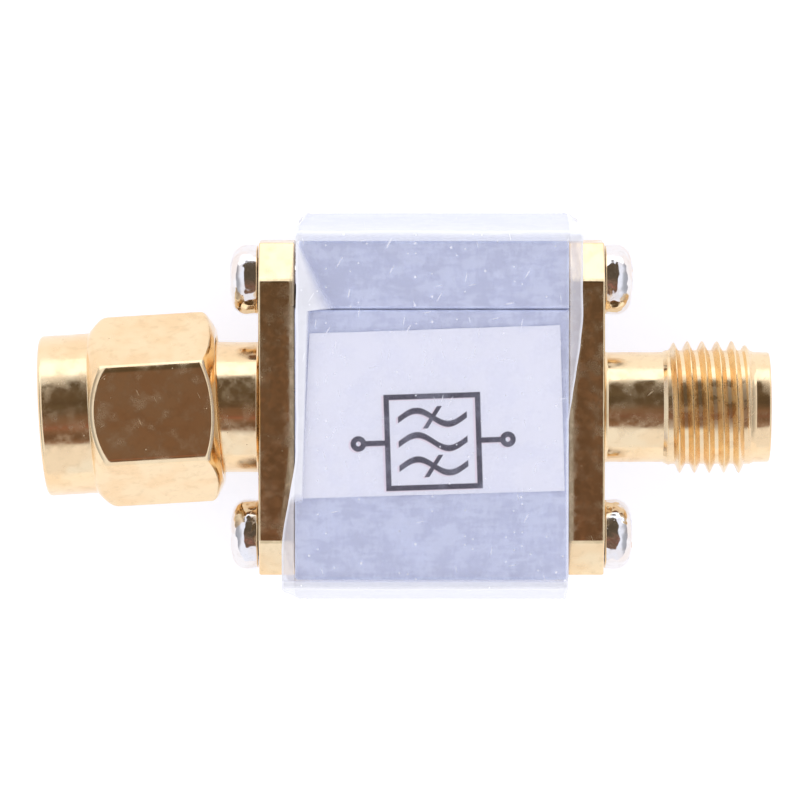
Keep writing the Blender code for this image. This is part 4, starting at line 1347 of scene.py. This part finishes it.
class FILTER_OT_board(bpy.types.Operator):
    """Give the board and the parts soldered to it their finishes"""

    bl_idname = "filter_module.board"
    bl_label = "Board"

    def execute(self, context):
        gold = context.scene.filter_finishes.gold
        solder = plain_finish("solder", (0.6, 0.6, 0.62), 0.28, 1.0)
        ferrite = plain_finish("ferrite", (0.06, 0.07, 0.09), 0.45)
        titanate = plain_finish("titanate", (0.42, 0.3, 0.18), 0.45)
        dress("filter_board", plain_finish("green_laminate", (0.02, 0.12, 0.05), 0.35, scale=8.0))
        dress("saw_package", plain_finish("ceramic", (0.3, 0.28, 0.26), 0.5))
        dress("saw_chip", plain_finish("crystal", (0.55, 0.58, 0.6), 0.12, spread=0.04, microns=0.3))
        dress("saw_lid", plain_finish("lid_gold_plate", gold, 0.25, 1.0))
        for end in ("plug", "jack"):
            dress(f"solder_joint_{end}", solder)
        for side in ("in", "out"):
            dress(f"matching_inductor_{side}", ferrite)
            dress(f"matching_capacitor_{side}", titanate)
        return {"FINISHED"}


class FILTER_OT_label(bpy.types.Operator):
    """Make the paper slip with its printed symbol"""

    bl_idname = "filter_module.label"
    bl_label = "Label"

    def execute(self, context):
        middle = tuple(length / MM for length in (*PRINT_CENTRE, LABEL_LOW.z + LABEL_THICK))
        paper = printed_paper(context.scene.filter_finishes, middle)
        slip = label_slip(context.scene.filter_sizes)
        add_piece("label_slip", slip, paper, "module", ["paper_label"])
        return {"FINISHED"}


class FILTER_OT_film(bpy.types.Operator):
    """Make the clear film shrunk round the housing"""

    bl_idname = "filter_module.film"
    bl_label = "Film Sleeve"

    def execute(self, context):
        film = clear_film(context.scene.filter_finishes)
        sleeve = film_sleeve(context.scene.filter_sizes)
        add_piece("film_sleeve", sleeve, film, "module", ["shrink_sleeve"], 60)
        return {"FINISHED"}


class FILTER_OT_stage(bpy.types.Operator):
    """Set up the floor, the light and the camera"""

    bl_idname = "filter_module.stage"
    bl_label = "Stage"

    def execute(self, context):
        stage = context.scene.filter_stage
        self.add_floor()
        self.set_world(context.scene, stage)
        self.add_softbox("upper_box", LAMP_PLACE, LAMP_SIZE, stage.upper_box)
        self.add_camera(context.scene, stage)
        context.scene.view_settings.view_transform = "Standard"
        return {"FINISHED"}

    def add_floor(self):
        """Pale floor that keeps shadows, lifted to white for the eye and in reflections."""
        bm = bmesh.new()
        bmesh.ops.create_grid(bm, x_segments=1, y_segments=1, size=FLOOR_HALF)
        floor = as_object("floor", bm)
        floor.location.z = -FLOOR_DROP
        made = Finish("floor_white", FLOOR_GREY, 1.0, Specular_IOR_Level=0.0, Emission_Strength=1.0)
        path = made.node("ShaderNodeLightPath")
        seen = path["Is Camera Ray"].most(path["Is Glossy Ray"]).most(path["Is Transmission Ray"])
        made.set("Emission Color", made.mix(seen, FLOOR_GLOW, FLOOR_GLOW_SEEN))
        floor.data.materials.append(made.material)

    def set_world(self, scene, stage):
        """White surroundings that show one dark opening overhead, in reflections only."""
        world = bpy.data.worlds.new("light_tent")
        world.use_nodes = True
        made = Maker(world.node_tree)
        x, y, z = made.split(made.node("ShaderNodeTexCoord")["Generated"])
        rise = made.math("ARCTAN2", y, z)
        up_down = (rise - OPENING_LEAN) / OPENING_RISE
        across = made.math("ARCTAN2", x, z) / OPENING_ACROSS
        far = up_down ** 4 + across ** 4
        opening = (1 - made.step(far, 0.8, 1.25)) * made.step(z, 0.0, 0.2)
        dark = made.mix(made.step(rise, 0.25, -0.15), OPENING_OLIVE, OPENING_BROWN)
        line = (rise + 0.25) / 0.05
        dark = made.mix(made.math("EXPONENT", -1 * line * line), dark, OPENING_RUST)
        smear = made.node("ShaderNodeTexNoise", {}, {
            "Vector": made.join(x, y, z), "Scale": 7.0, "Detail": 3.0})
        dark = made.mix(made.step(smear[0], 0.35, 0.65) * 0.55, dark, OPENING_DARK)
        level = stage.world_level
        tent = tinted(stage.cool_cast, level)
        tent = made.mix(made.step(abs(x), 0.6, 0.95), tent, tinted(tent, TENT_ENDS))
        seen = made.mix(opening, tent, dark)
        lit = DIFFUSE_SHARE * level
        path = made.node("ShaderNodeLightPath")
        colour = made.mix(path["Is Diffuse Ray"], seen, (lit, lit, lit * DIFFUSE_BLUE))
        colour = made.mix(path["Is Camera Ray"], colour, (level, level, level))
        background = world.node_tree.nodes["Background"]
        made.feed(background.inputs["Color"], colour)
        scene.world = world

    def add_softbox(self, name, place, size, radiance):
        """Area light that faces the module, by its radiance and not its power."""
        lamp = bpy.data.lights.new(name, "AREA")
        lamp.shape = "RECTANGLE"
        lamp.size, lamp.size_y = size
        lamp.energy = radiance * math.pi * size[0] * size[1]
        lamp.color = LAMP_TINT
        made = bpy.data.objects.new(name, lamp)
        made.location = place
        made.rotation_euler = (Vector((0, 0, AXIS_Z)) - place).to_track_quat("-Z", "Y").to_euler()
        made.visible_camera = False
        bpy.context.scene.collection.objects.link(made)

    def add_camera(self, scene, stage):
        lens = bpy.data.cameras.new("camera")
        lens.sensor_width = SENSOR_WIDE
        lens.lens = LENS_LONG
        lens.clip_start, lens.clip_end = 0.01, 20.0
        camera = bpy.data.objects.new("camera", lens)
        tilt = stage.camera_tilt
        camera.location = AIM + stage.camera_distance * Vector((0, math.sin(tilt), math.cos(tilt)))
        camera.rotation_euler = (-tilt, 0, 0)
        scene.collection.objects.link(camera)
        scene.camera = camera


STEPS = (
    FILTER_OT_housing, FILTER_OT_connectors, FILTER_OT_nut, FILTER_OT_contacts, FILTER_OT_screws,
    FILTER_OT_board, FILTER_OT_label, FILTER_OT_film, FILTER_OT_stage,
)


class FILTER_PT_panel(bpy.types.Panel):
    """Lists the steps that dress the module"""

    bl_idname = "FILTER_PT_panel"
    bl_label = "Filter Module"
    bl_space_type = "VIEW_3D"
    bl_region_type = "UI"
    bl_category = "Filter Module"

    def draw(self, context):
        for step in STEPS:
            self.layout.operator(step.bl_idname)


GROUPS = {"filter_sizes": FilterSizes, "filter_finishes": FilterFinishes, "filter_stage": FilterStage}
CLASSES = (*GROUPS.values(), *STEPS, FILTER_PT_panel)


def register():
    for item in CLASSES:
        bpy.utils.register_class(item)
    for name, group in GROUPS.items():
        setattr(bpy.types.Scene, name, PointerProperty(type=group))


def unregister():
    for name in GROUPS:
        delattr(bpy.types.Scene, name)
    for item in reversed(CLASSES):
        bpy.utils.unregister_class(item)


def main():
    register()
    for step in STEPS:
        group, name = step.bl_idname.split(".")
        getattr(getattr(bpy.ops, group), name)()


if __name__ == "__main__":
    main()
